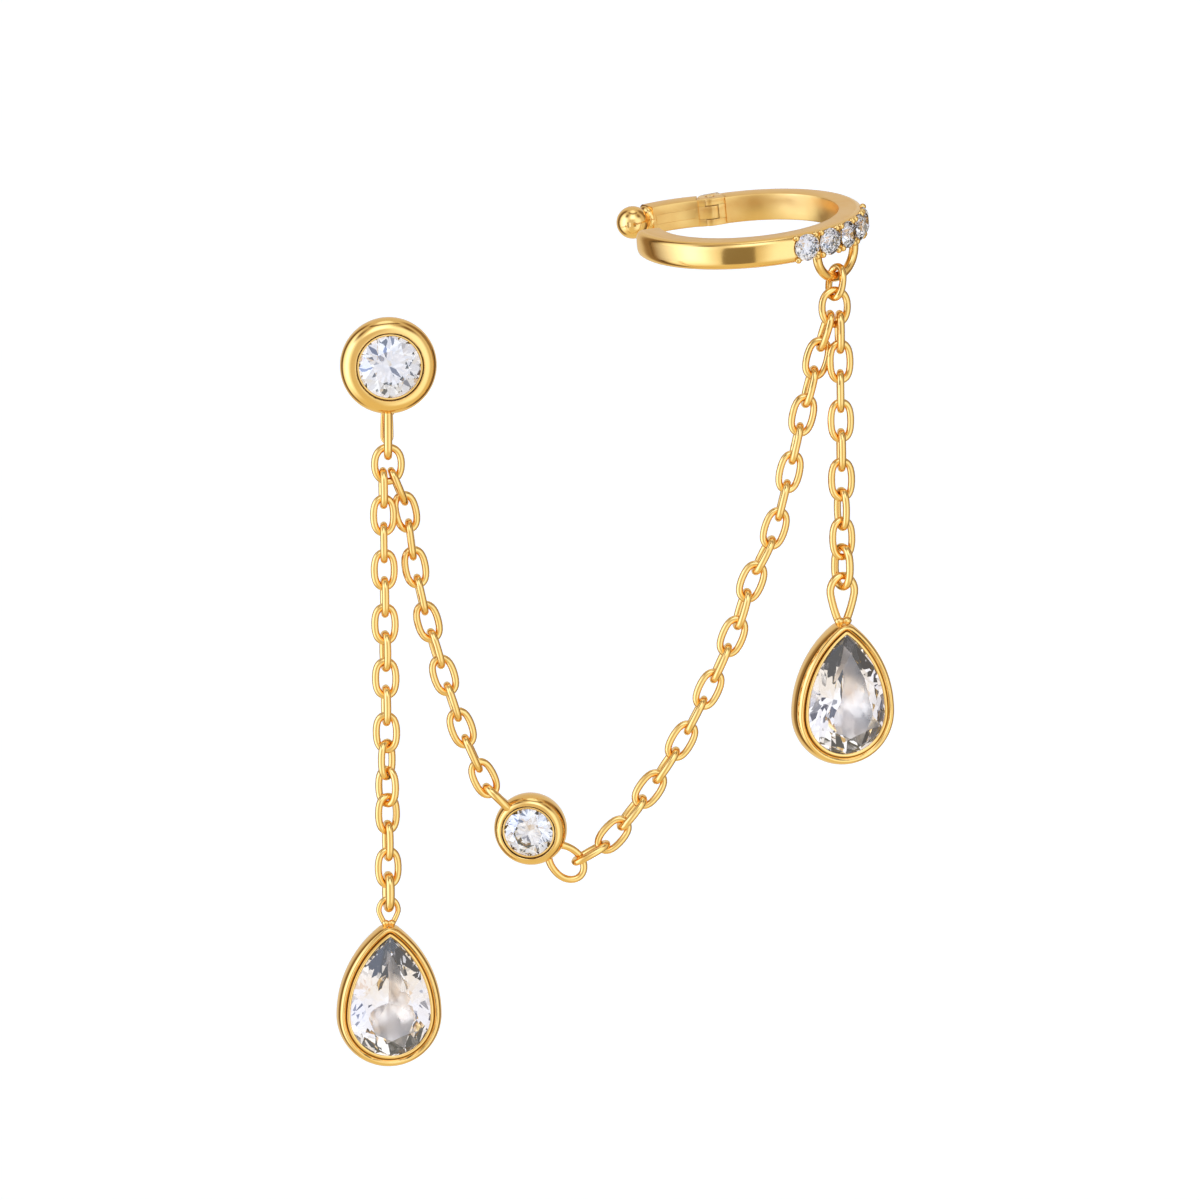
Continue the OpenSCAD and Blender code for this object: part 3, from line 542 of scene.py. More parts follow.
def ear_post():
    """The post on its flared foot, with the groove that an ear nut snaps into."""
    tip = POST_L - POST_R - 0.01
    groove_r = POST_R - 0.07
    profile = ([(0, -0.01), (0.95, -0.01), (0.8, 0.1), (0.52, 0.18), (POST_R, 0.34), (POST_R, tip - 2.1),
                (groove_r, tip - 2.0), (groove_r, tip - 1.75), (POST_R, tip - 1.65), (POST_R, tip)]
               + arc((0, tip), (POST_R, POST_R), 0, 90, 8)[1:])
    return placed(turned(profile, 40), turn("X", -90))


def stud_setting():
    """The stud with its eye, and the slender loop that stands behind the eye."""
    upside_down = Matrix.Diagonal((1, 1, -1, 1))
    bezel = placed(setting(STUD_STONE_R, STUD_WALL, STUD_DEPTH, 112), turn("X", 90))
    eye = placed(bent_wire(eye_path(EYE_R, EYE_WIRE, STUD_EYE_REACH + STUD_EYE_ROOT)),
                 shift(0, CHAIN_Y, -STUD_R - STUD_EYE_REACH), turn("Z", STUD_EYE_TURN), upside_down)
    loop_r, loop_wire, loop_reach, loop_lean, loop_turn = 0.25, 0.17, 1.5, 40, -12
    loop_at = (0, CHAIN_Y + 0.42, -STUD_R - 1.3)
    loop = placed(bent_wire(eye_path(loop_r, loop_wire, loop_reach, loop_lean)), shift(*loop_at),
                  turn("Z", loop_turn), upside_down)
    blobs = solder((0, CHAIN_Y - SUNK, -STUD_R + SUNK), STUD_SOLDER_R)
    return joined(bezel, eye, loop, ear_post(), *blobs)


AT_STATION = (moved(on_plane(STATION_AT)) @ turn("Z", -STATION_TURN)
              @ turn("X", 90 + STATION_TILT) @ shift(0, 0, RIM_DROP - STATION_DEPTH))


def station_setting():
    bezel = placed(setting(STATION_STONE_R, STATION_WALL, STATION_DEPTH, 96), AT_STATION)
    eye = placed(bent_wire(eye_path(EYE_R, EYE_WIRE, STATION_EYE_REACH + STATION_EYE_ROOT, flare=1.25)),
                 moved(on_plane(STATION_EYE_MID)), turn("Y", 90 - STATION_EYE_ANGLE), turn("Z", 90))
    ring_path = eye_path(STATION_RING_R, LINK_WIRE, STATION_RING_REACH + STATION_EYE_ROOT, flare=1.1)
    ring = placed(bent_wire(ring_path), moved(on_plane(STATION_RING_MID)), turn("Y", 90 - STATION_RING_ANGLE))
    return joined(bezel, eye, ring)


def drop_at(pivot_at, eye_r, thick, reach):
    hang = eye_r - (thick + JUMP_WIRE) / 2 - DROP_GAP
    return moved(on_plane(pivot_at - Vector((0, hang + reach + PEAR_TIP_Z + PEAR_TIP))))


AT_LOBE_DROP = drop_at(LOBE_PIVOT, LOBE_EYE_R, LOBE_EYE_WIRE, LOBE_EYE_REACH)
AT_CUFF_DROP = drop_at(CUFF_PIVOT, CUFF_EYE_R, CUFF_EYE_WIRE, CUFF_EYE_REACH) @ turn("Z", CUFF_DROP_TURN)


def drop_setting(place, eye_r, thick, reach, solder_r):
    """A pear setting with its foil, and a wider and slimmer eye whose sides meet at the root."""
    thinner, wider, slimmer, solder_front = 0.02, 0.03, 0.02, 0.12
    bezel = setting(PEAR_R, PEAR_WALL - thinner, PEAR_DEPTH, 192, WIDE_CREST, WIDE_LIP, foiled=True)
    placed(to_pear(bezel), turn("X", 90), shift(0, 0, RIM_DROP - PEAR_DEPTH + EYE_BEHIND))
    tip = PEAR_TIP_Z + PEAR_TIP
    path = eye_path(eye_r + wider, thick - slimmer, reach + DROP_EYE_ROOT, lean=72, flare=1.05, pinch=0.42)
    eye = placed(bent_wire(path), shift(0, 0, tip + reach))
    return placed(joined(bezel, eye, *solder((0, -solder_front, tip + SUNK), solder_r)), place)


def drop_stone(place):
    return placed(pear_stone(), place, turn("X", 90), shift(0, 0, RIM_DROP - GIRDLE_UNDER_RIM + EYE_BEHIND))


# Chains

def junction_link(top, roll):
    foot = top - Vector((0, JUNCTION_REACH))
    return link_between(on_plane(top), on_plane(foot), roll, JUNCTION_W, WIRE, LINK_WIRE, 40, 14)


def jump_ring(top, reach, roll, worn_wire):
    low = top - Vector((0, reach))
    return link_between(on_plane(top), on_plane(low), roll, JUMP_W, JUMP_WIRE, worn_wire, 48, 20)


def lobe_drop_chain():
    return joined(
        junction_link(LOBE_JUNCTION_TOP, 0),
        *strand([junction_hook(LOBE_JUNCTION_TOP, -1), LOBE_DROP_HOOK], LOBE_LINKS, 1),
        jump_ring(LOBE_DROP_HOOK, LOBE_JUMP_REACH, LOBE_JUMP_TURN, JUMP_WIRE))


def cuff_drop_chain():
    return joined(
        link_between(LOOP_HOOK, on_plane(CUFF_JUNCTION_HOOK), CUFF_LINK_TURN, LINK_W, WIRE, LINK_WIRE),
        junction_link(CUFF_JUNCTION_HOOK, CUFF_JUNCTION_TURN),
        *strand([junction_hook(CUFF_JUNCTION_HOOK, 1), CUFF_DROP_HOOK], CUFF_DROP_LINKS, -0.2),
        jump_ring(CUFF_DROP_HOOK, CUFF_JUMP_REACH, CUFF_JUMP_TURN, CUFF_JUMP_WIRE))


def stud_side_chain():
    route = [junction_hook(LOBE_JUNCTION_TOP, 1), *STUD_SIDE_ROUTE, STUD_SIDE_END]
    return joined(*strand(route, STUD_SIDE_LINKS, back_from_start=True))


def cuff_side_chain():
    route = [CUFF_SIDE_START, *CUFF_SIDE_ROUTE, junction_hook(CUFF_JUNCTION_HOOK, -1)]
    return joined(*strand(route, CUFF_SIDE_LINKS, back_to_end=True))


# Cuff: its own origin is the ring's middle, and angles run from the front to the right

AT_CUFF = shift(*CUFF_AT) @ tip_over(*CUFF_TIP_OVER)


def around(angle, r, z=0.0):
    return Vector((r * sin(angle), -r * cos(angle), z))


HINGE = around(HINGE_AT, CUFF_MID_R)
AT_HINGE = moved(HINGE) @ turn("Z", HINGE_AT)
OPENED = AT_CUFF @ moved(HINGE) @ turn("Z", -ARM_OPEN) @ moved(-HINGE)
LOOP_AT = PAVE_FROM + PAVE_STEP * 1.5
LOOP_MID_R, LOOP_UP = CUFF_R - 0.42, 0.05
LOOP_HOOK = AT_CUFF @ around(LOOP_AT, LOOP_MID_R, LOOP_UP - CUFF_H / 2 - LOOP_R + (LOOP_WIRE + LINK_GAP) / 2)


def band_section():
    """Half round outside, flat above and below, softly rounded inside."""
    inner, half, soft, corner = CUFF_R - CUFF_T, CUFF_H / 2, 0.1, 0.03
    dome_r, dome_z, dome_out, fall = CUFF_R - 0.3, half - 0.05, 0.29, 0.93
    flat_in, edge_in, edge_down = 0.16, 0.05, 0.015
    dome = [(dome_r + dome_out * math.sqrt(1 - abs(z / dome_z) ** 3 * fall), z)
            for z in (dome_z * sin(-90 + 180 * i / 24) for i in range(25))]
    low_r, high_r = dome[0][0], dome[-1][0]
    return ([(inner + soft, -half), (low_r - flat_in, -half), (low_r - edge_in, -half + edge_down)] + dome
            + [(high_r - edge_in, half - edge_down), (high_r - flat_in, half), (inner + soft, half)]
            + [(inner + corner, half - corner), (inner, half - soft), (inner, 0), (inner, -half + soft),
               (inner + corner, -half + corner)])


def band_arc(start, end, steps):
    """The band's section swept from one angle to another, with its ends closed."""
    shape = turned(band_section(), steps, end - start, closed=True)
    return placed(close_ends(shape), turn("Z", start - 90))


def in_seats(band):
    """The band with a seat cut for each stone, and the metal round them cut down in scallops that
    leave the corners between the stones standing."""
    cone_r, scallop_r, floor_z, floor_soft, top_z = PAVE_R + 0.02, PAVE_R + 0.11, -0.04, 0.03, 0.9
    profile = [(0, -cone_r * PAVILION_SHARE - 0.04), (cone_r, floor_z), (scallop_r - floor_soft, floor_z),
               (scallop_r, floor_z + floor_soft), (scallop_r, top_z), (0, top_z)]
    blank, tools = in_scene("blank", outward(band)), []
    for i in range(CUFF_STONES):
        seat = placed(turned(profile, 48), turn("Z", PAVE_FROM + PAVE_STEP * i),
                      shift(0, -PAVE_GIRDLE_R + GIRDLE_HALF, 0), turn("X", 90))
        tools.append(in_scene(f"seat{i}", outward(seat)))
        cut = blank.modifiers.new(f"seat{i}", "BOOLEAN")
        cut.operation, cut.solver, cut.object = "DIFFERENCE", "EXACT", tools[-1]
    bpy.context.view_layer.update()
    made = blank.evaluated_get(bpy.context.evaluated_depsgraph_get()).to_mesh()
    shape = bmesh.new()
    shape.from_mesh(made)
    for held in [blank, *tools]:
        mesh = held.data
        bpy.data.objects.remove(held)
        bpy.data.meshes.remove(mesh)
    return shape


def satin_inside(shape):
    """The cuff's inner wall and its flat edges take the second, satin finish."""
    satin_to, over = CUFF_R - 0.42, 0.01
    for f in shape.faces:
        middle = f.calc_center_median()
        if math.hypot(middle.x, middle.y) < satin_to and abs(middle.z) < CUFF_H / 2 + over:
            f.material_index = SECOND_FINISH
    return shape


def round_off_end(band, start, raw_span):
    """The steps before an angle are gathered into the band's rounded free end."""
    reach_a = math.degrees(CUFF_H / 2 / CUFF_MID_R)
    for v in band.verts:
        angle = (math.degrees(math.atan2(v.co.x, -v.co.y)) + 180) % 360 - 180
        if start - raw_span - 1 < angle < start - 1e-4:
            s = sin(90 * (start - angle) / raw_span)
            narrow = math.sqrt(max(0.0, 1 - s * s))
            r = CUFF_MID_R + (math.hypot(v.co.x, v.co.y) - CUFF_MID_R) * narrow
            v.co = around(start - reach_a * s, r, v.co.z * narrow)
    merged(band, 1e-4)


def slab(outlines, height, low):
    """Flat outlines that meet along their edges, given a height, with softened edges."""
    edge_soft, edge_turn = 0.022, 1.2
    shape = bmesh.new()
    for outline in outlines:
        shape.faces.new([shape.verts.new((x, y, low)) for x, y in outline])
    grown = bmesh.ops.extrude_face_region(shape, geom=merged(shape).faces[:])["geom"]
    raised = [g for g in grown if isinstance(g, bmesh.types.BMVert)]
    bmesh.ops.translate(shape, vec=(0, 0, height), verts=raised)
    outward(shape)
    sharp = [e for e in shape.edges if len(e.link_faces) == 2 and e.calc_face_angle(0.0) > edge_turn]
    bmesh.ops.bevel(shape, geom=sharp, offset=edge_soft, offset_type="OFFSET", affect="EDGES", segments=2,
                    profile=0.5, clamp_overlap=True, material=-1)
    return shape


KNUCKLE_FACE, BLOCK_L = 0.62, BODY_GAP + 0.03


def knuckle(height, low, body_side):
    """A hinge knuckle bored for the pin, with the flush block that joins it to its half of the cuff."""
    bore = PIN_R + HINGE_FIT
    halves = []
    for side in (1, -1):
        outline = arc((0, 0), (KNUCKLE_FACE, KNUCKLE_FACE), 0, 90, 14)
        outline += [(-BLOCK_L, KNUCKLE_FACE), (-BLOCK_L, 0)] + arc((0, 0), (bore, bore), 180, 0, 20)
        halves.append([(-body_side * x, side * y) for x, y in outline])
    return slab(halves, height, low)


def knuckle_pocket(height, low, body_side):
    """The hollowed end of one half of the cuff, where the other's knuckle turns. It is filled on
    the inner side only, because the arm swings outwards."""
    hollow = KNUCKLE_FACE + 0.025
    outline = arc((0, 0), (hollow, hollow), 0, math.degrees(math.asin(KNUCKLE_FACE / hollow)) - 1, 12)
    outline += [(BLOCK_L, KNUCKLE_FACE), (BLOCK_L, 0)]
    return slab([[(body_side * x, y) for x, y in outline]], height, low)


def stone_beads():
    """Two beads above and below each gap between the stones, and one at each end of the row."""
    radii, apart, inset, row_end = (0.165, 0.17, 0.165), 1.75, 0.13, 7
    first, last = PAVE_FROM - row_end, PAVE_FROM + PAVE_STEP * (CUFF_STONES - 1) + row_end
    beads = []
    for i in range(CUFF_STONES + 1):
        at = PAVE_FROM + PAVE_STEP * (i - 0.5)
        for side in (-1, 1):
            for angle in (at - apart, at + apart):
                if first < angle < last:
                    seat = around(angle, PAVE_GIRDLE_R, side * (CUFF_H / 2 - inset))
                    beads.append(placed(bead(radii), moved(seat), turn("Z", at)))
    return beads


def cuff_loop():
    """The open loop under the band, wider than deep, with thicker feet that run into the band."""
    wide, foot_wire, foot_in, foot_up = LOOP_R * 1.11, LOOP_WIRE * 1.1, 0.02, 0.3
    path = [(wide * cos(a), LOOP_R * sin(a), a, LOOP_WIRE) for a in range(180, 361, 6)]
    path = [(-wide + foot_in, foot_up, 180, foot_wire)] + path + [(wide - foot_in, foot_up, 360, foot_wire)]
    return placed(bent_wire(path, 20), moved(around(LOOP_AT, LOOP_MID_R, LOOP_UP - CUFF_H / 2)),
                  turn("Z", LOOP_AT))


def cuff_band():
    free_span, step = 12.0, 1.5
    end = HINGE_AT - BODY_GAP_A
    start = -BAND_END - free_span
    band = band_arc(start, end, round((end - start) / step))
    round_off_end(band, -BAND_END, free_span)
    band = in_seats(band)
    ear_h = (CUFF_H - TONGUE_H) / 2 - HINGE_FIT
    ears = [placed(knuckle(ear_h, low, -1), AT_HINGE) for low in (-CUFF_H / 2, CUFF_H / 2 - ear_h)]
    ears.append(placed(knuckle_pocket(CUFF_H - 2 * ear_h, ear_h - CUFF_H / 2, -1), AT_HINGE))
    return placed(joined(satin_inside(joined(band, *ears)), cuff_loop(), *stone_beads()), AT_CUFF)


def cuff_hinge_pin():
    half, soft = CUFF_H / 2, 0.04
    profile = [(0, -half), (PIN_R - soft, -half), (PIN_R, -half + soft), (PIN_R, half - soft),
               (PIN_R - soft, half), (0, half)]
    return placed(turned(profile, 32), AT_CUFF, AT_HINGE)


def cuff_arm():
    start, end = HINGE_AT + BODY_GAP_A, HINGE_AT + ARM_SPAN - NECK_SPAN
    arm = band_arc(start, end, 24)
    ear_h = (CUFF_H - TONGUE_H) / 2
    tongue = [placed(knuckle(TONGUE_H, -TONGUE_H / 2, 1), AT_HINGE)]
    tongue += [placed(knuckle_pocket(ear_h, low, 1), AT_HINGE) for low in (-CUFF_H / 2, TONGUE_H / 2)]
    collar_section = [(0, -0.5), (0.62, -0.5), (0.66, -0.42), (0.66, -0.02), (0.62, 0.04), (0.56, 0.07),
                      (0.52, 0.12), (0.52, 0.2), (0, 0.2)]
    collar_on = 1.5
    collar_at = end + collar_on
    collar = placed(turned(collar_section, 40), moved(around(collar_at, CUFF_MID_R)),
                    turn("Z", collar_at), turn("Y", 90))
    ball = placed(bead((BALL_R,) * 3, 48), moved(around(HINGE_AT + ARM_SPAN, CUFF_MID_R)))
    return placed(joined(satin_inside(joined(arm, *tongue)), collar, ball), OPENED)


def cuff_spring_leaf():
    inner, soft = CUFF_R - CUFF_T - SUNK, 0.02
    profile = [(inner, -LEAF_H / 2 + soft), (inner + soft, -LEAF_H / 2), (inner + LEAF_T, -LEAF_H / 2),
               (inner + LEAF_T, LEAF_H / 2), (inner + soft, LEAF_H / 2), (inner, LEAF_H / 2 - soft)]
    strip = close_ends(turned(profile, 24, LEAF_TO - LEAF_FROM, closed=True))
    return placed(strip, OPENED, turn("Z", HINGE_AT + LEAF_FROM - 90))


def cuff_stone(i):
    return placed(round_stone(PAVE_R), AT_CUFF, turn("Z", PAVE_FROM + PAVE_STEP * i),
                  shift(0, -PAVE_GIRDLE_R, 0), turn("X", 90))


# Finishes

def fill(node, values):
    """Sets a node's named inputs."""
    for name, value in values.items():
        node.inputs[name].default_value = value


def new_finish(name, values):
    """A finish with these settings, its node tree, its shader and its texture coordinates."""
    finish = bpy.data.materials.new(name)
    finish.use_nodes = True
    tree = finish.node_tree
    shader = next(n for n in tree.nodes if n.type == "BSDF_PRINCIPLED")
    fill(shader, values)
    return finish, tree, shader, tree.nodes.new("ShaderNodeTexCoord")


def noise(tree, coords, scale, detail=2.0):
    made = tree.nodes.new("ShaderNodeTexNoise")
    fill(made, {"Scale": scale, "Detail": detail})
    tree.links.new(coords.outputs["Object"], made.inputs["Vector"])
    return made.outputs["Fac"]


def ranged(tree, value, low, high):
    """The middle part of a noise's values stretched from a low to a high value."""
    made = tree.nodes.new("ShaderNodeMapRange")
    fill(made, {"From Min": 0.3, "From Max": 0.7, "To Min": low, "To Max": high})
    tree.links.new(value, made.inputs["Value"])
    return made.outputs["Result"]


def drifting_tone(tree, coords, scale, low, high):
    """A colour that drifts from one tone to another over the piece."""
    made = tree.nodes.new("ShaderNodeMix")
    made.data_type = "RGBA"
    fill(made, {"A": low, "B": high})
    tree.links.new(ranged(tree, noise(tree, coords, scale), 0, 1), made.inputs["Factor"])
    return made.outputs["Result"]


def bump(tree, height, strength, distance):
    made = tree.nodes.new("ShaderNodeBump")
    fill(made, {"Strength": strength, "Distance": distance})
    tree.links.new(height, made.inputs["Height"])
    return made


def gold(name, polish, wave, wave_scale, grain, low=(0.91, 0.55, 0.165, 1), high=(0.95, 0.60, 0.20, 1)):
    """Yellow gold: its tone drifts a little, the polish is uneven, and the surface waves slightly
    as cast or drawn metal does, with a fine polishing grain."""
    tone_scale, polish_scale, grain_scale = 420, 1500, 14000
    finish, tree, shader, coords = new_finish(name, {"Metallic": 1.0})
    tree.links.new(drifting_tone(tree, coords, tone_scale, low, high), shader.inputs["Base Color"])
    rough = ranged(tree, noise(tree, coords, polish_scale, 4), *polish)
    tree.links.new(rough, shader.inputs["Roughness"])
    waves = bump(tree, noise(tree, coords, wave_scale, 0), 0.5, wave)
    fine = bump(tree, noise(tree, coords, grain_scale, 2), 0.35, grain)
    tree.links.new(waves.outputs["Normal"], fine.inputs["Normal"])
    tree.links.new(fine.outputs["Normal"], shader.inputs["Normal"])
    return finish


def clear_stone(name, bending, tint_low, tint_high, painted_glow=0.0):
    """White stone: clear and refracting, with a tint that drifts through it. The painted glow is painted
    light: a faint emission that brightens the stone in place of the light that a large stone gathers and
    gives back."""
    tint_scale = 900
    finish, tree, shader, coords = new_finish(name, {
        "Transmission Weight": 1.0, "IOR": bending, "Roughness": 0.0,
        "Emission Color": (1.0, 0.96, 0.96, 1), "Emission Strength": painted_glow})
    tree.links.new(drifting_tone(tree, coords, tint_scale, tint_low, tint_high), shader.inputs["Base Color"])
    return finish


POLISHED = gold("polished_cast_gold", (0.06, 0.12), 0.00002, 260, 0.0000006)
DRAWN = gold("drawn_gold_wire", (0.08, 0.15), 0.00001, 900, 0.0000008)
PLAIN = gold("plain_gold_steelbrushed", (0.12, 0.2), 0.00001, 600, 0.000001)
BAND_POLISH = gold("polished_cuff_gold", (0.12, 0.17), 0.00002, 260, 0.0000006)
FOIL = gold("pale_foil", (0.25, 0.45), 0.00006, 1800, 0.000001, (1.0, 0.91, 0.80, 1),
            (0.99, 0.99, 1.0, 1))
SATIN = gold("satin_gold", (0.3, 0.4), 0.00001, 600, 0.000001, (0.88, 0.53, 0.16, 1),
             (0.92, 0.58, 0.19, 1))
# Painted shade: a dark brown painted into the settings' fine grooves, where shade falls in them
GROOVE_PAINTED_SHADE = gold("groove_painted_shade_gold", (0.25, 0.4), 0.00001, 600, 0.000001, (0.20, 0.085, 0.02, 1),
                (0.28, 0.13, 0.03, 1))
WHITE_STONE = clear_stone("white_stone", 2.42, (0.96, 0.965, 1.0, 1), (1.0, 0.99, 1.0, 1))
# Painted light: the pear stones glow faintly, an emission that brightens them though they are no lamp
PEAR_STONE = clear_stone("pear_stone", 1.6, (0.98, 0.97, 0.98, 1), (1.0, 0.99, 0.99, 1), 0.012)


def piece(name, shape, finish, nodes, body="root", sharp=38.0, others=(GROOVE_PAINTED_SHADE,)):
    """A finished piece in metres, in the place of its nodes, on its body."""
    for f in outward(merged(shape)).faces:
        f.smooth = True
    limit = math.radians(sharp)
    for e in shape.edges:
        e.smooth = len(e.link_faces) == 2 and e.calc_face_angle(0.0) < limit
    placed(shape, Matrix.Scale(METRES, 4))
    if not any(f.material_index for f in shape.faces):
        others = ()
    made = in_scene(name, shape, finish, *others)
    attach(made, body)
    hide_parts(*nodes)
    return made


def stone_piece(name, shape, finish, node, body="root"):
    """A finished stone, every facet of it flat."""
    piece(name, shape, finish, [node], body, sharp=0.5)


def seated_stone(radius, place, depth):
    """A round stone in its setting."""
    return placed(round_stone(radius), place, shift(0, 0, depth - GIRDLE_UNDER_RIM))


DROPS = [("lobe_drop", AT_LOBE_DROP, LOBE_EYE_R, LOBE_EYE_WIRE, LOBE_EYE_REACH, LOBE_SOLDER_R),
         ("cuff_drop", AT_CUFF_DROP, CUFF_EYE_R, CUFF_EYE_WIRE, CUFF_EYE_REACH, CUFF_SOLDER_R)]

piece("stud_bezel_and_post", stud_setting(), POLISHED, ["stud_setting"])
stone_piece("stud_round_stone", seated_stone(STUD_STONE_R, turn("X", 90), STUD_DEPTH), WHITE_STONE,
            "stud_stone")
for part, chain in (("lobe_drop", lobe_drop_chain()), ("stud_side", stud_side_chain()),
                    ("cuff_side", cuff_side_chain()), ("cuff_drop", cuff_drop_chain())):
    piece(f"{part}_links", chain, DRAWN, [f"{part}_chain"])
piece("station_bezel", station_setting(), POLISHED, ["station_setting"])
stone_piece("station_round_stone", seated_stone(STATION_STONE_R, AT_STATION, STATION_DEPTH), WHITE_STONE,
            "station_stone")
for drop, place, *eye in DROPS:
    piece(f"{drop}_bezel", drop_setting(place, *eye), POLISHED, [f"{drop}_setting"], drop,
          others=[GROOVE_PAINTED_SHADE, FOIL])
    stone_piece(f"{drop}_pear_stone", drop_stone(place), PEAR_STONE, f"{drop}_stone", drop)
piece("cuff_band_with_loop", cuff_band(), BAND_POLISH, ["cuff_band"], others=[SATIN])
piece("cuff_pin", cuff_hinge_pin(), PLAIN, ["cuff_hinge_pin"])
piece("cuff_arm_and_ball", cuff_arm(), BAND_POLISH, ["cuff_arm"], "cuff_arm", others=[SATIN])
piece("cuff_leaf", cuff_spring_leaf(), SATIN, ["cuff_spring_leaf"], "cuff_arm")
for i in range(CUFF_STONES):
    stone_piece(f"cuff_round_stone_{i + 1}", cuff_stone(i), WHITE_STONE, f"cuff_stone_{i + 1}")


# Studio: a pale floor far below, and soft panels and dark gaps all round

FLOOR_Z, FLOOR_HALF = -0.4, 12.0
# A map range's sockets for three values at once
VECTOR_IN, VECTOR_LIMITS = 6, slice(7, 11)


def pale_floor():
    floor = bmesh.new()
    bmesh.ops.create_grid(floor, x_segments=1, y_segments=1, size=FLOOR_HALF, matrix=shift(0, 0, FLOOR_Z))
    finish = new_finish("pale_floor", {"Base Color": (0.9, 0.9, 0.9, 1), "Roughness": 0.9,
                                       "Emission Color": (1, 1, 1, 1), "Emission Strength": 0.3})[0]
    made = in_scene("floor", floor, finish)
    made.visible_glossy = made.visible_transmission = False


def shade_card(name, toward, azimuth, elevation, distance, half_w, half_h, level, fade=None):
    """A small card that only the polished metal sees, at a distance from the piece that it shades.
    A fade is another level and the two places along Y between which the card turns to it."""
    card = bmesh.new()
    bmesh.ops.create_grid(card, x_segments=1, y_segments=1, size=1.0)
    away = Vector((sin(azimuth) * cos(elevation), -cos(azimuth) * cos(elevation), sin(elevation)))
    placed(card, Matrix.Scale(METRES, 4), moved(Vector(toward) + away * distance),
           turn("Z", azimuth), turn("X", 90 - elevation), Matrix.Diagonal((half_w, half_h, 1, 1)))
    finish, tree, shader, coords = new_finish(name, {
        "Base Color": (0.01, 0.01, 0.01, 1), "Specular IOR Level": 0.0,
        "Emission Color": (*level, 1), "Emission Strength": 1.0})
    if fade:
        split, ramp = tree.nodes.new("ShaderNodeSeparateXYZ"), tree.nodes.new("ShaderNodeMapRange")
        ramp.data_type = "FLOAT_VECTOR"
        far_level, near, far = fade
        limits = ((near * METRES,) * 3, (far * METRES,) * 3, level, far_level)
        for socket, value in zip(ramp.inputs[VECTOR_LIMITS], limits):
            socket.default_value = value
        tree.links.new(coords.outputs["Object"], split.inputs[0])
        tree.links.new(split.outputs["Y"], ramp.inputs[VECTOR_IN])
        tree.links.new(ramp.outputs["Vector"], shader.inputs["Emission Color"])
    made = in_scene(name, card, finish)
    made.visible_camera = made.visible_diffuse = made.visible_transmission = made.visible_shadow = False


# Each panel: azimuth and elevation of its middle, half width, half height, softness, and light.
# Azimuth 0 is the front and 90 the right side, in degrees.
SOFTBOX, CORE, BROAD = (1.4, 1.7, 2.2), (1.75, 2.15, 3.4), (1.25, 1.5, 1.9)
SHADE, DARK, NAVY = (0.3, 0.22, 0.14), (0.07, 0.045, 0.03), (0.05, 0.055, 0.1)
FLAG = (0.24, 0.17, 0.1)
PANELS = [
    ("left", -76, 0, 32, 46, 16, SOFTBOX),
    ("left_core", -72, 4, 13, 32, 12, CORE),
    ("right", 30, 0, 22, 42, 13, BROAD),
    ("left_shade", -128, 0, 15, 60, 8, SHADE),
    ("left_line", -122, 0, 4, 55, 3, DARK),
    ("right_shade", 110, 0, 20, 60, 9, SHADE),
    ("right_line", 117, -15, 7, 45, 4, DARK),
    ("overhead", 0, 90, 180, 12, 4, BROAD),
    ("top", -8, 46, 26, 17, 8, SOFTBOX),
    ("top_core", -8, 44, 14, 9, 8, CORE),
    ("top_line", -8, 69, 88, 3, 3, (0.16, 0.1, 0.05)),
    ("left_flag", -64, 46, 15, 12, 11, FLAG),
    ("right_flag", 50, 46, 15, 12, 11, FLAG),
]
STONE_PANELS = [
    ("left", -70, 5, 45, 50, 10, (1.2, 1.2, 1.22)),
    ("right", 60, 5, 30, 50, 8, (1.05, 1.05, 1.1)),
    ("top", 0, 55, 60, 14, 5, (1.25, 1.25, 1.25)),
    ("front", -10, 10, 14, 22, 4, (0.9, 0.9, 0.96)),
    ("camera", -8, 9, 7, 7, 2, (0.12, 0.14, 0.24)),
    ("amber", 150, -30, 30, 20, 6, (0.75, 0.56, 0.38)),
    ("low_amber", -30, -40, 30, 9, 4, (0.8, 0.62, 0.46)),
    ("right_slit", 24, 20, 7, 30, 2, NAVY),
    ("left_slit", -112, 10, 6, 40, 2, NAVY),
    ("right_far_slit", 100, 5, 6, 40, 2, NAVY),
    ("back_slit", 180, 40, 25, 6, 2, NAVY),
]


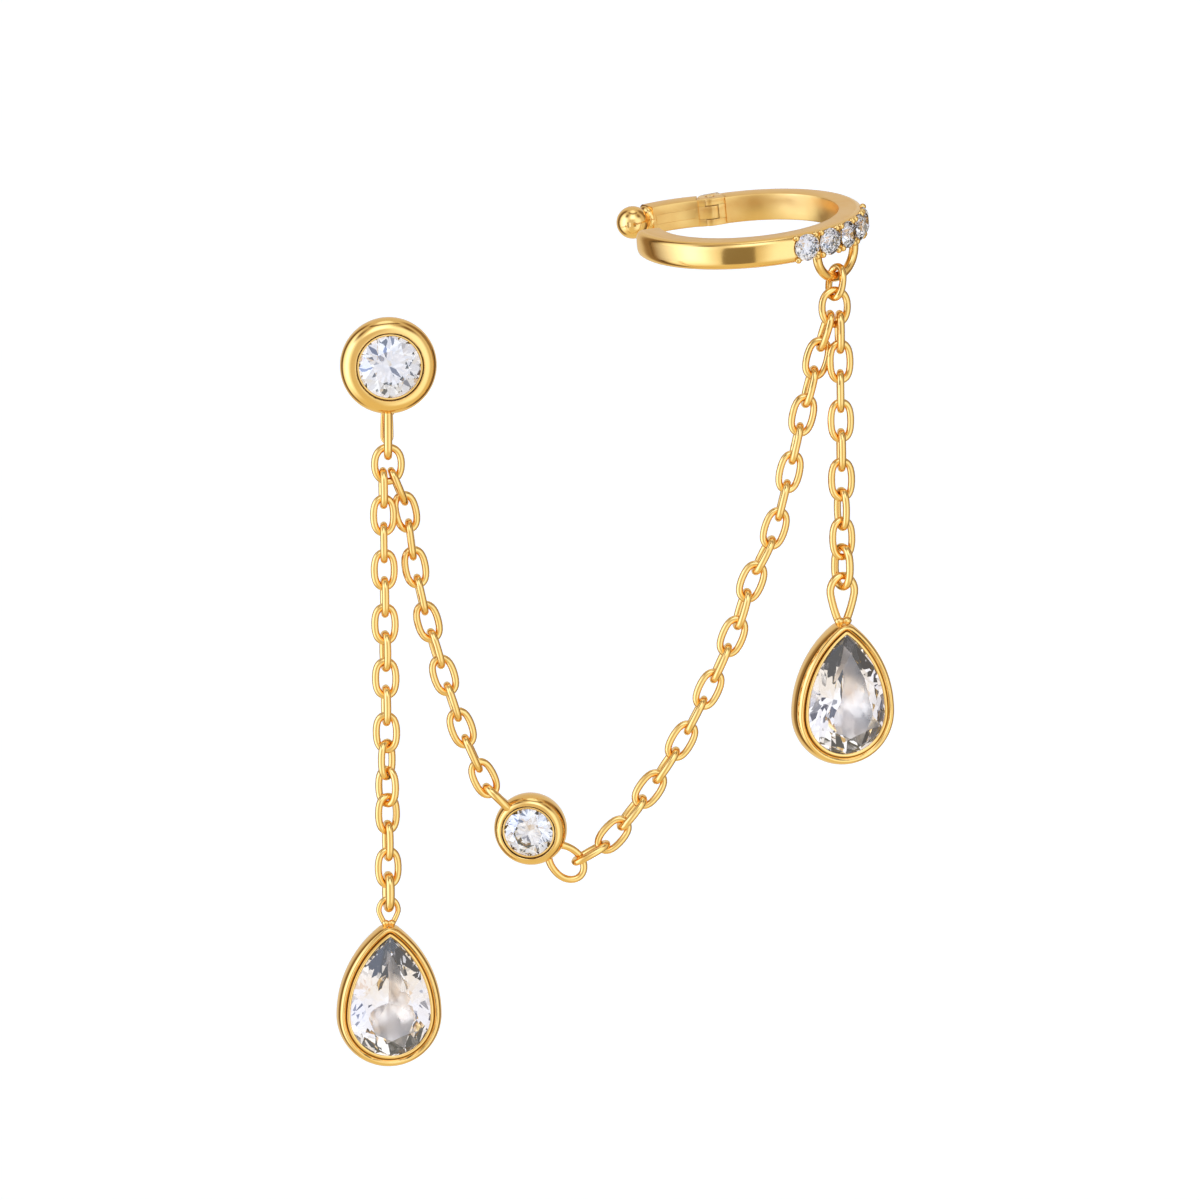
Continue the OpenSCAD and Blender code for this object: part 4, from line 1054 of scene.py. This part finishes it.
def studio():
    world = bpy.data.worlds.new("studio")
    world.use_nodes = True
    bpy.context.scene.world = world
    tree = world.node_tree
    join = tree.links.new
    output = next(n for n in tree.nodes if n.type == "OUTPUT_WORLD")

    def sum_of(operation, *values):
        made = tree.nodes.new("ShaderNodeMath")
        made.operation = operation
        for socket, value in zip(made.inputs, values):
            if isinstance(value, (int, float)):
                socket.default_value = value
            else:
                join(value, socket)
        return made.outputs[0]

    def window(offset, half, soft):
        made = tree.nodes.new("ShaderNodeMapRange")
        made.interpolation_type = "SMOOTHSTEP"
        fill(made, {"From Min": half - soft, "From Max": half + soft, "To Min": 1, "To Max": 0})
        join(sum_of("ABSOLUTE", offset), made.inputs["Value"])
        return made.outputs["Result"]

    coords = tree.nodes.new("ShaderNodeTexCoord")
    split = tree.nodes.new("ShaderNodeSeparateXYZ")
    join(coords.outputs["Generated"], split.inputs[0])
    forward = sum_of("MULTIPLY", split.outputs["Y"], -1)
    azimuth = sum_of("DEGREES", sum_of("ARCTAN2", split.outputs["X"], forward))
    elevation = sum_of("DEGREES", sum_of("ARCSINE", split.outputs["Z"]))

    def sky(low, high, panels):
        """Two tones, below and above, with the panels painted over them in turn."""
        low_at, high_at = -50, 20
        tones = tree.nodes.new("ShaderNodeMapRange")
        tones.data_type = "FLOAT_VECTOR"
        for socket, value in zip(tones.inputs[VECTOR_LIMITS], ((low_at,) * 3, (high_at,) * 3, low, high)):
            socket.default_value = value
        join(elevation, tones.inputs[VECTOR_IN])
        light = tones.outputs["Vector"]
        for _, az, el, half_w, half_h, soft, colour in panels:
            offset = sum_of("WRAP", sum_of("SUBTRACT", azimuth, az), 180, -180)
            across = window(offset, half_w, soft)
            mask = sum_of("MULTIPLY", across, window(sum_of("SUBTRACT", elevation, el), half_h, soft))
            mix = tree.nodes.new("ShaderNodeMix")
            mix.data_type = "RGBA"
            join(mask, mix.inputs["Factor"])
            join(light, mix.inputs["A"])
            mix.inputs["B"].default_value = (*colour, 1)
            light = mix.outputs["Result"]
        made = tree.nodes.new("ShaderNodeBackground")
        join(light, made.inputs["Color"])
        return made.outputs[0]

    def either(factor, first, second):
        made = tree.nodes.new("ShaderNodeMixShader")
        for socket, value in zip(made.inputs, (factor, first, second)):
            join(value, socket)
        return made.outputs[0]

    round_metal = sky((0.86, 0.82, 0.62), (0.76, 0.75, 0.74), PANELS)
    round_stones = sky((0.92, 0.84, 0.74), (0.86, 0.86, 0.94), STONE_PANELS)
    pale = tree.nodes.new("ShaderNodeBackground")
    pale.inputs["Color"].default_value = (0.985, 0.985, 0.985, 1)
    seen = tree.nodes.new("ShaderNodeLightPath")
    lit = either(seen.outputs["Is Transmission Ray"], round_metal, round_stones)
    join(either(seen.outputs["Is Camera Ray"], lit, pale.outputs[0]), output.inputs["Surface"])


# Camera: a long lens a little to the left and above, which frames 60 mm at the chains' plane

def camera():
    azimuth, elevation, lens, frame_width = -8, 9, 400, 0.060
    look_at = Vector((10.664, CHAIN_Y, -12.091)) * METRES
    back = Vector((sin(azimuth) * cos(elevation), -cos(azimuth) * cos(elevation), sin(elevation)))
    data = bpy.data.cameras.new("camera")
    data.lens = lens
    data.clip_start, data.clip_end = 0.05, 60
    distance = frame_width * lens / data.sensor_width
    made = bpy.data.objects.new("camera", data)
    made.location = look_at + back * distance
    made.rotation_euler = (-back).to_track_quat("-Z", "Y").to_euler()
    bpy.context.scene.collection.objects.link(made)
    bpy.context.scene.camera = made


pale_floor()
shade_card("cuff_card", (17.75, -2.5, 5.4), -22.5, -15, 6, 2.6, 4.2, (0.29, 0.27, 0.22))
shade_card("left_end_card", (12.0, 0.8, 4.4), -90, 0, 2.4, 2.6, 2.2, (1.6, 1.95, 2.8), (SHADE, -1.4, 3.2))
shade_card("left_end_back", (12.0, 0.8, 4.4), -90, 0, 2.5, 2.6, 2.2, SHADE)
studio()
camera()
bpy.context.scene.view_settings.view_transform = "Standard"
